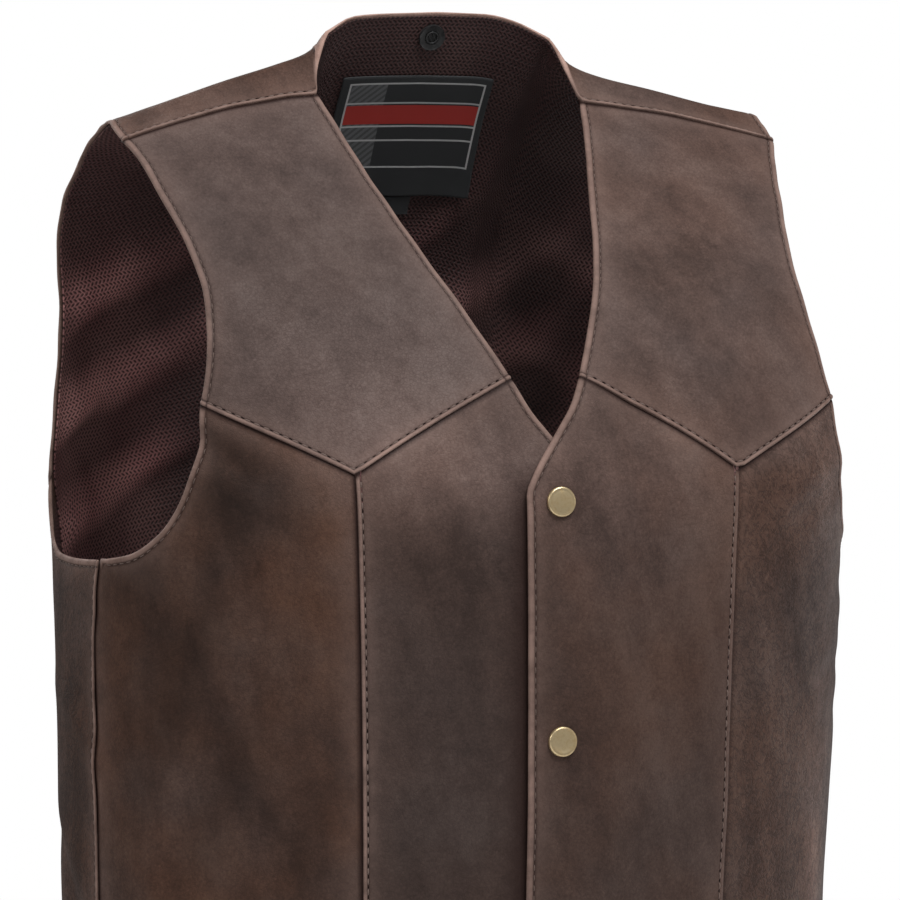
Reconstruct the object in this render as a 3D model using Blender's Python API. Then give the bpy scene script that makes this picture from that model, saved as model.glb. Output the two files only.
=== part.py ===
"""Western vest: leather fronts with pointed yokes, side panels, a lined back, label and snaps.

The vest is worn open-necked and snapped shut, and keeps the round form of a torso.
Metres, +Z up, +X to the wearer's left, the fronts face -Y.
The origin lies between the shoulders, level with the shoulder ends.
"""
from collections import namedtuple
import math

import bpy
import numpy as np
from mathutils import Matrix, Vector
from mathutils.bvhtree import BVHTree

# Walls and gaps
LEATHER = 0.0014
LINING = 0.0010
LABEL_WALL = 0.0010
GAP = 0.0003

# Driving sizes of the cut
HEM_DROP = 0.575
EDGE_ANGLE = 4.8
OVERLAP_LIFT = 0.0037
OVERLAP_TOP, OVERLAP_FULL = 0.105, 0.150
OVERLAP_OUT, OVERLAP_IN = 13.0, 6.0

# Snap fasteners
SNAP_FIRST, SNAP_PITCH, SNAP_COUNT = 0.1915, 0.1171, 4
CAP_RADIUS, CAP_HEIGHT = 0.0075, 0.0019
CORE_RADIUS, CORE_HEIGHT = 0.0055, 0.0016
BACK_RADIUS, BACK_HEIGHT = 0.0050, 0.0010
NECK_SNAP_DROP = 0.0030
NECK_SNAP_RADIUS, NECK_SOCKET_HEIGHT, NECK_CAP_HEIGHT = 0.0070, 0.0022, 0.0016

# Label, in the back's own columns and rows
LABEL_CENTRE, LABEL_HALF_WIDTH, LABEL_TOP, LABEL_BOTTOM = -0.002, 0.042, 0.0075, 0.0390
TAB_CENTRE, TAB_HALF_WIDTH, TAB_GAP, TAB_LENGTH = 0.001, 0.0075, 0.0008, 0.0085

# Rows and columns of the panels' grids, shared along each seam
INNER_COLS, OUTER_COLS, NECK_COLS, SIDE_COLS = 6, 6, 8, 5
YOKE_ROWS, NOTCH_ROWS, EDGE_ROWS = 9, 4, 12
ARM_ROWS, SEAM_ROWS, BACK_ARM_ROWS = 6, 10, 13

# Round pieces
SEGMENTS = 20
SHARP = 40.0

# How fast the ridge's shape fades down the cloth
FADE = 0.012

Section = namedtuple("Section", "drop half_width front back fullness centre")
SECTIONS = (
    Section(0.000, 0.2030, 0.0003, 0.0003, 6.7, 0.0130),
    Section(0.004, 0.2050, 0.0128, 0.0133, 6.6, 0.0150),
    Section(0.016, 0.2060, 0.0370, 0.0385, 6.2, 0.0165),
    Section(0.036, 0.2065, 0.0615, 0.0590, 5.6, 0.0160),
    Section(0.064, 0.2060, 0.0900, 0.0780, 4.6, 0.0140),
    Section(0.100, 0.2050, 0.1190, 0.0920, 3.6, 0.0105),
    Section(0.144, 0.2045, 0.1395, 0.1060, 3.0, 0.0070),
    Section(0.196, 0.2050, 0.1480, 0.1165, 2.6, 0.0040),
    Section(0.324, 0.2055, 0.1455, 0.1210, 2.2, 0.0000),
    Section(0.441, 0.2040, 0.1390, 0.1190, 2.1, -0.0020),
    Section(0.590, 0.2060, 0.1360, 0.1230, 2.1, -0.0030),
)

# Height of the shoulder ridge on the wearer's left and right, from the neck's middle
# out past the shoulder's end
Ridge = namedtuple("Ridge", "out left right")
RIDGE = (
    Ridge(0.0000, 0.0598, 0.0598),
    Ridge(0.0280, 0.0593, 0.0584),
    Ridge(0.0450, 0.0549, 0.0561),
    Ridge(0.0600, 0.0445, 0.0448),
    Ridge(0.0715, 0.0298, 0.0330),
    Ridge(0.0880, 0.0230, 0.0270),
    Ridge(0.1200, 0.0160, 0.0168),
    Ridge(0.1500, 0.0090, 0.0064),
    Ridge(0.1795, 0.0035, -0.0035),
    Ridge(0.2150, -0.0060, -0.0135),
)

# Soft folds that run down the cloth: angle round from the middle of the front
Fold = namedtuple("Fold", "angle top bottom width height")
FOLDS = (
    Fold(58.0, 0.300, 0.575, 9.0, 0.0022),
    Fold(-61.0, 0.330, 0.575, 8.0, 0.0026),
    Fold(41.0, 0.400, 0.575, 8.0, -0.0018),
    Fold(-43.0, 0.370, 0.575, 9.0, -0.0020),
    Fold(132.0, 0.300, 0.575, 10.0, 0.0028),
    Fold(-136.0, 0.260, 0.575, 11.0, 0.0032),
    Fold(154.0, 0.340, 0.575, 10.0, -0.0028),
    Fold(-158.0, 0.380, 0.575, 9.0, -0.0024),
    Fold(177.0, 0.280, 0.575, 12.0, 0.0022),
)

# Places where the cloth stands out from the even form or lies under it
Swell = namedtuple("Swell", "angle drop width length height")
SWELLS = (
    Swell(56.0, 0.172, 20.0, 0.030, 0.0047),
    Swell(-118.0, 0.180, 16.0, 0.025, 0.0020),
    Swell(76.0, 0.410, 24.0, 0.085, -0.0042),
)

# The wearer's left armhole is drawn in by this angle, halfway down the yoke
ARM_PULL = 1.35

# Lines of the cut: angle from the centre line, and drop from the ridge, which is
# negative down the front and positive down the back
Mark = namedtuple("Mark", "angle drop")
NECK_EDGE = (
    Mark(19.5, -0.0070),
    Mark(17.8, -0.0190),
    Mark(16.8, -0.0275),
    Mark(15.2, -0.0430),
    Mark(13.6, -0.0600),
    Mark(11.8, -0.0775),
    Mark(9.9, -0.0935),
    Mark(7.6, -0.1115),
    Mark(5.0, -0.1310),
)
NOTCH_EDGE = (
    Mark(5.0, -0.1310),
    Mark(2.8, -0.1460),
    Mark(0.2, -0.1585),
    Mark(-3.1, -0.1750),
    Mark(-4.8, -0.1860),
)
NECK_RIM = (
    Mark(19.5, -0.0070),
    Mark(18.9, -0.0029),
    Mark(17.9, -0.0008),
    Mark(16.5, 0.0001),
    Mark(14.6, 0.0005),
    Mark(12.5, 0.0007),
    Mark(8.0, 0.0008),
    Mark(0.0, 0.0008),
)
SHOULDER_SEAM = (
    Mark(19.5, -0.0070),
    Mark(24.5, -0.0062),
    Mark(29.6, -0.0062),
    Mark(34.6, -0.0070),
    Mark(39.2, -0.0088),
    Mark(43.5, -0.0118),
)
YOKE_INNER = (
    Mark(5.0, -0.1310),
    Mark(13.2, -0.1455),
    Mark(19.7, -0.1585),
    Mark(27.9, -0.1770),
)
YOKE_OUTER = (
    Mark(27.9, -0.1770),
    Mark(37.2, -0.1600),
    Mark(47.6, -0.1430),
)
ARM_UPPER = (
    Mark(43.5, -0.0118),
    Mark(42.6, -0.0240),
    Mark(42.1, -0.0420),
    Mark(41.7, -0.0630),
    Mark(42.0, -0.0810),
    Mark(43.4, -0.1020),
    Mark(45.1, -0.1215),
    Mark(47.6, -0.1430),
)
ARM_LOWER = (
    Mark(47.6, -0.1430),
    Mark(49.0, -0.1620),
    Mark(51.1, -0.1780),
    Mark(54.3, -0.1945),
    Mark(58.5, -0.2080),
    Mark(65.0, -0.2175),
    Mark(74.0, -0.2212),
)
ARM_SIDE = (
    Mark(74.0, -0.2212),
    Mark(83.0, -0.2217),
    Mark(95.0, -0.2205),
    Mark(106.0, -0.2130),
    Mark(117.0, -0.1830),
)
ARM_BACK = (
    Mark(63.0, 0.1830),
    Mark(58.0, 0.1450),
    Mark(53.4, 0.1180),
    Mark(50.7, 0.0940),
    Mark(48.3, 0.0640),
    Mark(46.1, 0.0420),
    Mark(43.9, 0.0220),
    Mark(43.5, 0.0060),
    Mark(43.7, 0.0000),
    Mark(43.6, -0.0050),
    Mark(43.5, -0.0118),
)
FRONT_SEAM_HEM = Mark(27.5, -HEM_DROP)
SIDE_SEAM = (
    Mark(74.0, -0.2212),
    Mark(76.5, -0.2600),
    Mark(76.8, -0.3600),
    Mark(78.0, -HEM_DROP),
)
SIDE_BACK_HEM = 61.0

# Colours: base colour, roughness, metallic
LEATHER_LOOK = ("leather", (0.075, 0.050, 0.042, 1.0), 0.62, 0.0)
LINING_LOOK = ("mesh_lining", (0.030, 0.017, 0.016, 1.0), 0.90, 0.0)
LABEL_LOOK = ("label_cloth", (0.008, 0.008, 0.009, 1.0), 0.75, 0.0)
BRASS_LOOK = ("brass", (0.420, 0.320, 0.180, 1.0), 0.38, 1.0)
BLACK_LOOK = ("black_metal", (0.010, 0.010, 0.011, 1.0), 0.40, 0.6)

# Turned profiles, as shares of the piece's radius and height
Turn = namedtuple("Turn", "out up")
DOMED = (
    Turn(0.00, 0.00),
    Turn(0.93, 0.00),
    Turn(1.00, 0.25),
    Turn(0.95, 0.55),
    Turn(0.70, 0.86),
    Turn(0.35, 0.98),
    Turn(0.00, 1.00),
)
FLAT = (
    Turn(0.00, 0.00),
    Turn(1.00, 0.00),
    Turn(1.00, 0.75),
    Turn(0.95, 1.00),
    Turn(0.00, 1.00),
)
SOCKET = (
    Turn(0.00, 0.00),
    Turn(1.00, 0.00),
    Turn(1.00, 0.70),
    Turn(0.90, 1.00),
    Turn(0.51, 1.00),
    Turn(0.46, 0.45),
    Turn(0.00, 0.45),
)


def clear_scene():
    """Removes what a new file holds."""
    for item in list(bpy.data.objects):
        bpy.data.objects.remove(item, do_unlink=True)


def finish(look):
    """Returns the material of a look, made once."""
    name, colour, roughness, metallic = look
    material = bpy.data.materials.get(name)
    if material is None:
        material = bpy.data.materials.new(name)
        material.use_nodes = True
        shader = material.node_tree.nodes["Principled BSDF"]
        shader.inputs["Base Color"].default_value = colour
        shader.inputs["Roughness"].default_value = roughness
        shader.inputs["Metallic"].default_value = metallic
    return material


def column(rows, name):
    """Returns one named column of a table."""
    return np.array([getattr(row, name) for row in rows])


def smooth(xs, ys, x):
    """Reads a smooth curve through a table that never overshoots its rows."""
    step = np.diff(xs)
    slope = np.diff(ys) / step
    inner = np.zeros(len(xs))
    left, right = slope[:-1], slope[1:]
    near = 2 * step[1:] + step[:-1]
    far = step[1:] + 2 * step[:-1]
    same = left * right > 0
    safe_left = np.where(same, left, 1.0)
    safe_right = np.where(same, right, 1.0)
    inner[1:-1] = np.where(same, (near + far) / (near / safe_left + far / safe_right), 0.0)
    inner[0], inner[-1] = slope[0], slope[-1]
    x = np.clip(x, xs[0], xs[-1])
    cell = np.clip(np.searchsorted(xs, x, side="right") - 1, 0, len(xs) - 2)
    t = (x - xs[cell]) / step[cell]
    low = (1 + 2 * t) * (1 - t) ** 2 * ys[cell] + t * (1 - t) ** 2 * step[cell] * inner[cell]
    high = t ** 2 * (3 - 2 * t) * ys[cell + 1] - t ** 2 * (1 - t) * step[cell] * inner[cell + 1]
    return low + high


def ramp(value, start, end):
    """Rises softly from 0 at start to 1 at end."""
    t = np.clip((value - start) / (end - start), 0.0, 1.0)
    return t * t * (3 - 2 * t)


def lap_of(drop):
    """Turns a signed drop into a lap, which runs evenly over the shoulder's round ridge."""
    return np.sign(drop) * np.sqrt(np.abs(drop))


def bare_form(angle, lap):
    """Returns the torso form's points, with no folds."""
    root = np.sqrt(column(SECTIONS, "drop"))
    depth = np.abs(lap)
    half_width, front, back, fullness, centre = (
        smooth(root, column(SECTIONS, name), depth)
        for name in ("half_width", "front", "back", "fullness", "centre")
    )
    turn = np.radians(np.where(lap >= 0, 180.0 - angle, angle))
    side, ahead = np.sin(turn), np.cos(turn)
    reach = (np.abs(side) ** fullness + np.abs(ahead) ** fullness) ** (-1.0 / fullness)
    x = half_width * reach * side
    y = centre - np.where(ahead > 0, front, back) * reach * ahead
    left, right = (smooth(column(RIDGE, "out"), column(RIDGE, name), np.abs(x)) for name in ("left", "right"))
    ridge = np.where(x >= 0, left, right)
    drop = lap * lap
    return np.stack([x, y, ridge * np.exp(-drop / FADE) - drop], axis=-1)


def outward(angle, lap):
    """Returns the form's unit normals."""
    small_turn, small_lap = 0.05, 0.0005
    across = bare_form(angle + small_turn, lap) - bare_form(angle - small_turn, lap)
    along = bare_form(angle, lap + small_lap) - bare_form(angle, lap - small_lap)
    normal = np.cross(across, along)
    return normal / np.linalg.norm(normal, axis=-1, keepdims=True)


def fold_height(angle, lap):
    """Returns how far the soft folds and swells stand out at each point."""
    turn = np.where(lap >= 0, 180.0 - angle, angle)
    drop = lap * lap
    height = np.zeros(np.shape(turn))
    for row in FOLDS + SWELLS:
        off = (turn - row.angle + 180.0) % 360.0 - 180.0
        if isinstance(row, Fold):
            share = ramp(drop, row.top, row.bottom)
        else:
            share = np.exp(-((drop - row.drop) / row.length) ** 2)
        height = height + row.height * np.exp(-(off / row.width) ** 2) * share
    return height


def overlap_lift(angle, lap):
    """Returns how far the wearer's left front stands out to lie over the right one."""
    drop = lap * lap
    return (OVERLAP_LIFT * ramp(drop, OVERLAP_TOP, OVERLAP_FULL)
            * ramp(angle, OVERLAP_OUT, OVERLAP_IN))


def cloth(grid, depth=0.0, lifted=False):
    """Places a grid of angles and laps on the form, depth metres under the outer face."""
    angle, lap = grid[..., 0], grid[..., 1]
    height = fold_height(angle, lap) - depth
    if lifted:
        height = height + overlap_lift(angle, lap)
    return bare_form(angle, lap) + outward(angle, lap) * height[..., None]


def line(marks, count, by_lap=False):
    """Reads count + 1 points along a smooth line through marks, as angle and lap."""
    angle = column(marks, "angle")
    lap = lap_of(column(marks, "drop"))
    if by_lap:
        key = np.abs(lap - lap[0])
    else:
        places = bare_form(angle, lap)
        key = np.concatenate([[0.0], np.cumsum(np.linalg.norm(np.diff(places, axis=0), axis=1))])
    at = np.linspace(0.0, key[-1], count + 1)
    return np.stack([smooth(key, angle, at), smooth(key, lap, at)], axis=-1)


def join(*lines):
    """Joins lines end to end."""
    parts = [lines[0]] + [item[1:] for item in lines[1:]]
    return np.concatenate(parts)


def as_drawn(points):
    """Returns a grid on the wearer's left, the side that it is drawn for."""
    return points


def mirrored(points):
    """Returns a grid or line on the other side of the centre line."""
    return points * np.array([-1.0, 1.0])


def span(top, bottom, left, right):
    """Fills the region inside four border lines with a grid of rows and columns."""
    t = np.linspace(0.0, 1.0, len(left))[:, None, None]
    s = np.linspace(0.0, 1.0, len(top))[None, :, None]
    ruled = (1 - t) * top[None] + t * bottom[None] + (1 - s) * left[:, None] + s * right[:, None]
    corners = ((1 - t) * (1 - s) * top[0] + (1 - t) * s * top[-1]
               + t * (1 - s) * bottom[0] + t * s * bottom[-1])
    return ruled - corners


def inset(points, edge_row, next_row):
    """Moves one border of a grid in by half a seam gap, square to the border."""
    along = np.gradient(edge_row, axis=0)
    along /= np.linalg.norm(along, axis=-1, keepdims=True)
    inward = next_row - edge_row
    inward -= along * np.sum(inward * along, axis=-1, keepdims=True)
    inward /= np.linalg.norm(inward, axis=-1, keepdims=True)
    return points + inward * GAP / 2


def part_seams(points, seams):
    """Draws a grid's borders in at its seams, named top, bottom, left and right."""
    moved = points.copy()
    if "top" in seams:
        moved[0] = inset(moved[0], points[0], points[1])
    if "bottom" in seams:
        moved[-1] = inset(moved[-1], points[-1], points[-2])
    if "left" in seams:
        moved[:, 0] = inset(moved[:, 0], points[:, 0], points[:, 1])
    if "right" in seams:
        moved[:, -1] = inset(moved[:, -1], points[:, -1], points[:, -2])
    return moved


def wall(name, outer, inner, look, balanced=False):
    """Makes a closed wall between two grids of points.

    Each cell is cut along one diagonal, and a balanced wall's two halves mirror each other.
    """
    rows, cols = outer.shape[:2]
    count = rows * cols
    points = np.concatenate([outer.reshape(-1, 3), inner.reshape(-1, 3)])
    index = np.arange(count).reshape(rows, cols)
    faces = []
    for r in range(rows - 1):
        for c in range(cols - 1):
            a, b = index[r, c], index[r, c + 1]
            d, e = index[r + 1, c], index[r + 1, c + 1]
            pair = [(a, d, b), (b, d, e)]
            if balanced and 2 * c + 1 >= cols:
                pair = [(a, d, e), (a, e, b)]
            faces += pair
            faces += [(i + count, k + count, j + count) for i, j, k in pair]
    border = np.concatenate([index[0, :-1], index[:-1, -1], index[-1, :0:-1], index[:0:-1, 0]])
    for here, there in zip(border, np.roll(border, -1)):
        faces += [(here, there, here + count), (there, there + count, here + count)]
    corners = points[np.array(faces)]
    volume = np.einsum("ij,ij->", corners[:, 0], np.cross(corners[:, 1], corners[:, 2]))
    if volume < 0:
        faces = [(a, c, b) for a, b, c in faces]
    mesh = bpy.data.meshes.new(name)
    mesh.from_pydata([tuple(p) for p in points], [], [tuple(int(i) for i in f) for f in faces])
    return add_object(name, mesh, look)


def add_object(name, mesh, look):
    """Links a mesh as a named object with its material."""
    mesh.materials.append(finish(look))
    item = bpy.data.objects.new(name, mesh)
    bpy.context.scene.collection.objects.link(item)
    return item


def panel(name, grid, seams, look=LEATHER_LOOK, depth=0.0, thickness=LEATHER, lifted=False,
          balanced=False):
    """Makes a panel's wall from its grid of angles and laps."""
    outer = part_seams(cloth(grid, depth, lifted), seams)
    inner = part_seams(cloth(grid, depth + thickness, lifted), seams)
    return wall(name, outer, inner, look, balanced)


def yoke_grid(pull):
    """Returns the front yoke of the wearer's left side, its armhole drawn in by an angle."""
    armhole = line(ARM_UPPER, YOKE_ROWS, by_lap=True)
    armhole[:, 0] -= pull * np.sin(np.linspace(0.0, math.pi, YOKE_ROWS + 1))
    return span(
        top=line(SHOULDER_SEAM, INNER_COLS + OUTER_COLS),
        bottom=join(line(YOKE_INNER, INNER_COLS), line(YOKE_OUTER, OUTER_COLS)),
        left=line(NECK_EDGE, YOKE_ROWS, by_lap=True),
        right=armhole,
    )


def front_seam():
    """Returns the seam that runs down from the yoke's point."""
    return line((YOKE_INNER[-1], FRONT_SEAM_HEM), NOTCH_ROWS + EDGE_ROWS)


def centre_grid():
    """Returns the centre front of the wearer's left side, from its edge to the seam."""
    edge = (NOTCH_EDGE[-1], Mark(-EDGE_ANGLE, -HEM_DROP))
    seam = front_seam()
    hem = (edge[-1], FRONT_SEAM_HEM)
    return span(
        top=line(YOKE_INNER, INNER_COLS),
        bottom=line(hem, INNER_COLS),
        left=join(line(NOTCH_EDGE, NOTCH_ROWS), line(edge, EDGE_ROWS)),
        right=seam,
    )


def side_front_grid():
    """Returns the side front of the wearer's left side, from the seam to the armhole."""
    return span(
        top=line(YOKE_OUTER, OUTER_COLS),
        bottom=line((FRONT_SEAM_HEM, SIDE_SEAM[-1]), OUTER_COLS),
        left=front_seam(),
        right=join(line(ARM_LOWER, ARM_ROWS), line(SIDE_SEAM, SEAM_ROWS)),
    )


def side_panel_grid():
    """Returns the panel under the left arm, from the front to the back."""
    back_hem = Mark(180.0 - SIDE_BACK_HEM, -HEM_DROP)
    return span(
        top=line(ARM_SIDE, SIDE_COLS),
        bottom=line((SIDE_SEAM[-1], back_hem), SIDE_COLS),
        left=line(SIDE_SEAM, SEAM_ROWS),
        right=line((ARM_SIDE[-1], back_hem), SEAM_ROWS),
    )


def back_grid():
    """Returns the back, from the hem up over the shoulders to the front seams."""
    rim = line(NECK_RIM, NECK_COLS // 2)
    seam = line(SHOULDER_SEAM, INNER_COLS + OUTER_COLS)
    half_top = join(rim[::-1], seam)
    top = join(mirrored(half_top)[::-1], half_top)
    side_hem = Mark(SIDE_BACK_HEM, HEM_DROP)
    side = join(line((side_hem, ARM_BACK[0]), SEAM_ROWS), line(ARM_BACK, BACK_ARM_ROWS, by_lap=True))
    side = side[::-1]
    half_hem = line((Mark(0.0, HEM_DROP), side_hem), len(half_top) - 1)
    hem = join(mirrored(half_hem)[::-1], half_hem)
    return span(top=top, bottom=hem, left=mirrored(side), right=side)


def lines_between(first, last):
    """Returns two places in a grid with the grid's own lines in between."""
    inside = np.arange(math.floor(first) + 1, math.ceil(last))
    return np.concatenate([[first], inside, [last]])


def blend(values, at):
    """Reads a row of values at fractional places."""
    low = np.clip(np.floor(at).astype(int), 0, len(values) - 2)
    share = (at - low)[:, None]
    return (1 - share) * values[low] + share * values[low + 1]


def window(points, top, bottom, low_x, high_x):
    """Cuts a piece out of a grid of points, from one x to another, along the grid's own lines."""
    rows, cols = points.shape[:2]
    cut = blend(points.reshape(rows, -1), lines_between(top, bottom)).reshape(-1, cols, 3)
    count = np.arange(cols)
    return np.stack([
        blend(row, lines_between(np.interp(low_x, row[:, 0], count), np.interp(high_x, row[:, 0], count)))
        for row in cut
    ])


def row_at(laps, drop):
    """Returns the fractional row of the centre line at which a drop is reached."""
    return float(np.interp(math.sqrt(drop), laps, np.arange(len(laps))))


def turned(name, profile, radius, height, place, axis, look):
    """Turns a closed profile about an axis, at a radius and a height."""
    turn = Vector(axis).to_track_quat("Z", "Y").to_matrix().to_4x4()
    move = Matrix.Translation(Vector(place)) @ turn
    points, faces, rings = [], [], []
    for row in profile:
        count = SEGMENTS if row.out > 0 else 1
        rings.append(list(range(len(points), len(points) + count)))
        for k in range(count):
            around = 2 * math.pi * k / SEGMENTS
            out, up = radius * row.out, height * row.up
            points.append(Vector((out * math.cos(around), out * math.sin(around), up)))
    for low, high in zip(rings, rings[1:]):
        for k in range(SEGMENTS):
            after = (k + 1) % SEGMENTS
            if len(low) == 1:
                faces.append((low[0], high[after], high[k]))
            elif len(high) == 1:
                faces.append((low[k], low[after], high[0]))
            else:
                faces.append((low[k], low[after], high[after], high[k]))
    mesh = bpy.data.meshes.new(name)
    mesh.from_pydata([move @ p for p in points], [], faces)
    mesh.polygons.foreach_set("use_smooth", [True] * len(mesh.polygons))
    mesh.set_sharp_from_angle(angle=math.radians(SHARP))
    return add_object(name, mesh, look)


def seat(target, place, axis, radius):
    """Moves a place out along an axis until a disc there clears the target by the gap."""
    mesh = target.data
    tree = BVHTree.FromPolygons([v.co for v in mesh.vertices], [p.vertices for p in mesh.polygons])
    axis = Vector(axis).normalized()
    across = axis.orthogonal().normalized()
    reach = 0.02
    highest = -reach
    for ring in (0.0, 0.5, 1.0):
        for k in range(SEGMENTS):
            aside = Matrix.Rotation(2 * math.pi * k / SEGMENTS, 3, axis) @ across
            start = Vector(place) + aside * radius * ring + axis * reach
            hit = tree.ray_cast(start, -axis, 2 * reach)
            if hit[0] is not None:
                highest = max(highest, (hit[0] - Vector(place)).dot(axis))
    return Vector(place) + axis * (highest + GAP)


def front_snaps(left_front, right_front):
    """Sets the snaps down the front: a cap outside, socket and stud between, a back inside."""
    for number in range(SNAP_COUNT):
        drop = SNAP_FIRST + SNAP_PITCH * number
        mark = np.array([0.0, -math.sqrt(drop)])
        place, out = bare_form(*mark), outward(*mark)
        tag = str(number + 1)
        seated = seat(left_front, place, out, CAP_RADIUS)
        turned("snap_cap_" + tag, DOMED, CAP_RADIUS, CAP_HEIGHT, seated, out, BRASS_LOOK)
        seated = seat(right_front, place, out, CORE_RADIUS)
        turned("snap_core_" + tag, FLAT, CORE_RADIUS, CORE_HEIGHT, seated, out, BRASS_LOOK)
        seated = seat(right_front, place - out * LEATHER, -out, BACK_RADIUS)
        turned("snap_back_" + tag, FLAT, BACK_RADIUS, BACK_HEIGHT, seated, -out, BRASS_LOOK)


def neck_snap(back, lining):
    """Sets the black snap at the back of the neck, with its cap outside."""
    mark = np.array([0.0, math.sqrt(NECK_SNAP_DROP)])
    place, out = bare_form(*mark), outward(*mark)
    inside = place - out * (LEATHER + GAP + LINING)
    seated = seat(lining, inside, -out, NECK_SNAP_RADIUS)
    turned("neck_snap_socket", SOCKET, NECK_SNAP_RADIUS, NECK_SOCKET_HEIGHT, seated, -out, BLACK_LOOK)
    seated = seat(back, place, out, NECK_SNAP_RADIUS)
    turned("neck_snap_cap", DOMED, NECK_SNAP_RADIUS, NECK_CAP_HEIGHT, seated, out, BLACK_LOOK)


def patch(name, grid, seams, drops, low_x, high_x):
    """Lays a piece of woven cloth on the back lining."""
    laps = grid[:, grid.shape[1] // 2, 1]
    top, bottom = (row_at(laps, drop) for drop in drops)
    depth = LEATHER + GAP + LINING + GAP
    sides = [
        window(part_seams(cloth(grid, level), seams), top, bottom, low_x, high_x)
        for level in (depth, depth + LABEL_WALL)
    ]
    wall(name, sides[0], sides[1], LABEL_LOOK, balanced=True)


def build():
    """Builds the whole vest."""
    clear_scene()
    fronts = {}
    for side, turn, pull in (("left", as_drawn, ARM_PULL), ("right", mirrored, 0.0)):
        lifted = side == "left"
        panel("yoke_" + side, turn(yoke_grid(pull)), ("top", "bottom"), lifted=lifted)
        fronts[side] = panel("centre_front_" + side, turn(centre_grid()), ("top", "right"), lifted=lifted)
        panel("side_front_" + side, turn(side_front_grid()), ("top", "left", "right"), lifted=lifted)
        panel("side_panel_" + side, turn(side_panel_grid()), ("left", "right"))
    grid = back_grid()
    seams = ("top", "left", "right")
    back = panel("back", grid, seams, balanced=True)
    lining = panel("back_lining", grid, seams, LINING_LOOK, LEATHER + GAP, LINING, balanced=True)
    patch("label", grid, seams, (LABEL_TOP, LABEL_BOTTOM),
          LABEL_CENTRE - LABEL_HALF_WIDTH, LABEL_CENTRE + LABEL_HALF_WIDTH)
    patch("size_tab", grid, seams, (LABEL_BOTTOM + TAB_GAP, LABEL_BOTTOM + TAB_LENGTH),
          TAB_CENTRE - TAB_HALF_WIDTH, TAB_CENTRE + TAB_HALF_WIDTH)
    front_snaps(fronts["left"], fronts["right"])
    neck_snap(back, lining)


build()
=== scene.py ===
"""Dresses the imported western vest: leather panels, mesh lining, label, stitches and snaps.

Metres, +Z up, +X to the wearer's left, the fronts face -Y. The panels repeat the form and the
cut of the solids, on finer grids, with turned edges, lapped seams and creases added.
"""

from dataclasses import dataclass, field
from enum import Enum
import logging
import math
from typing import Callable, NamedTuple, Sequence

import bpy
import numpy as np
from mathutils import Matrix, Vector


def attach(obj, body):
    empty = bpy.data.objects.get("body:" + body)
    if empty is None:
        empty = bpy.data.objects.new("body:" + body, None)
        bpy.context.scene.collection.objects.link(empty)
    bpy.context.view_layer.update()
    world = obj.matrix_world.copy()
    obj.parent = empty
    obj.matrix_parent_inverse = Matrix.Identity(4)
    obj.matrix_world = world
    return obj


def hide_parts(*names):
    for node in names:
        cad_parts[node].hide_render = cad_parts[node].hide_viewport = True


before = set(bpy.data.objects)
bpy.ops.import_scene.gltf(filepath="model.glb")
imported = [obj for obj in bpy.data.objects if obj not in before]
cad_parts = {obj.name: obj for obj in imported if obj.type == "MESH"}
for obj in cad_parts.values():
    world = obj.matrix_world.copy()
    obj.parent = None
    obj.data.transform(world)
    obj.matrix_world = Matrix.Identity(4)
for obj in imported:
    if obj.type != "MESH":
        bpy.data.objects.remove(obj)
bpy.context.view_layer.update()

LOG = logging.getLogger("vest")
BODY = "root"

# Short names for types
Array = np.ndarray
Item = bpy.types.Object
Material = bpy.types.Material
Finishes = dict[str, Material]
Tree = bpy.types.NodeTree
Node = bpy.types.Node
Socket = bpy.types.NodeSocket

# Walls and gaps
LEATHER = 0.0014
LINING = 0.0010
LABEL_WALL = 0.0008
GAP = 0.0003
FRONT_WALL = 0.0016

# Driving sizes of the cut
HEM_DROP = 0.575
EDGE_ANGLE = 4.8
OVERLAP_LIFT = 0.0037
OVERLAP_TOP, OVERLAP_FULL = 0.105, 0.150
OVERLAP_OUT, OVERLAP_IN = 13.0, 6.0
ARM_PULL = 1.35
FADE = 0.012

# Snap fasteners
SNAP_FIRST, SNAP_PITCH, SNAP_COUNT = 0.1915, 0.1171, 4
CAP_RADIUS, CAP_HEIGHT = 0.0075, 0.0019
SNAP_GAP, SNAP_SPIN = 0.00020, 37.0
NECK_SNAP_DROP = 0.0030

# Label and size tab
LABEL_CENTRE, LABEL_HALF_WIDTH, LABEL_TOP, LABEL_BOTTOM = -0.002, 0.042, 0.0075, 0.0390
TAB_CENTRE, TAB_HALF_WIDTH, TAB_GAP, TAB_LENGTH = 0.001, 0.0075, 0.0008, 0.0085

# Sewing
STITCH_PITCH = 0.0051
STITCH_LENGTH = 0.0036
EDGE_STITCH = 0.0034
SEAM_STITCH = 0.0023
THIN, THICK = 0.72, 1.30
STITCH_CLEAR = 0.0012


class Section(NamedTuple):
    """One level of the torso form."""

    drop: float
    half_width: float
    front: float
    back: float
    fullness: float
    centre: float


class Ridge(NamedTuple):
    """Height of the shoulder ridge at a distance out from the neck's middle."""

    out: float
    left: float
    right: float


class Fold(NamedTuple):
    """A soft fold that runs down to the hem."""

    angle: float
    top: float
    bottom: float
    width: float
    height: float


class Swell(NamedTuple):
    """A place where the cloth stands out from the even form or lies under it."""

    angle: float
    drop: float
    width: float
    length: float
    height: float


class Crease(NamedTuple):
    """A soft crease: its middle, half length, half width, slant from level and height."""

    angle: float
    drop: float
    length: float
    width: float
    slant: float
    height: float


class StainAndPaintedLight(NamedTuple):
    """A darker or paler place of the leather, among them painted light and shade: its middle, half sizes,
    slant and strength.
    """

    angle: float
    drop: float
    across: float
    down: float
    slant: float
    strength: float


class Hide(NamedTuple):
    """The part of a hide that a panel is cut from: its place, shade, warmth and crackle."""

    place: float
    shade: float = 1.0
    warmth: float = 0.4
    crackle: float = 0.15


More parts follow.
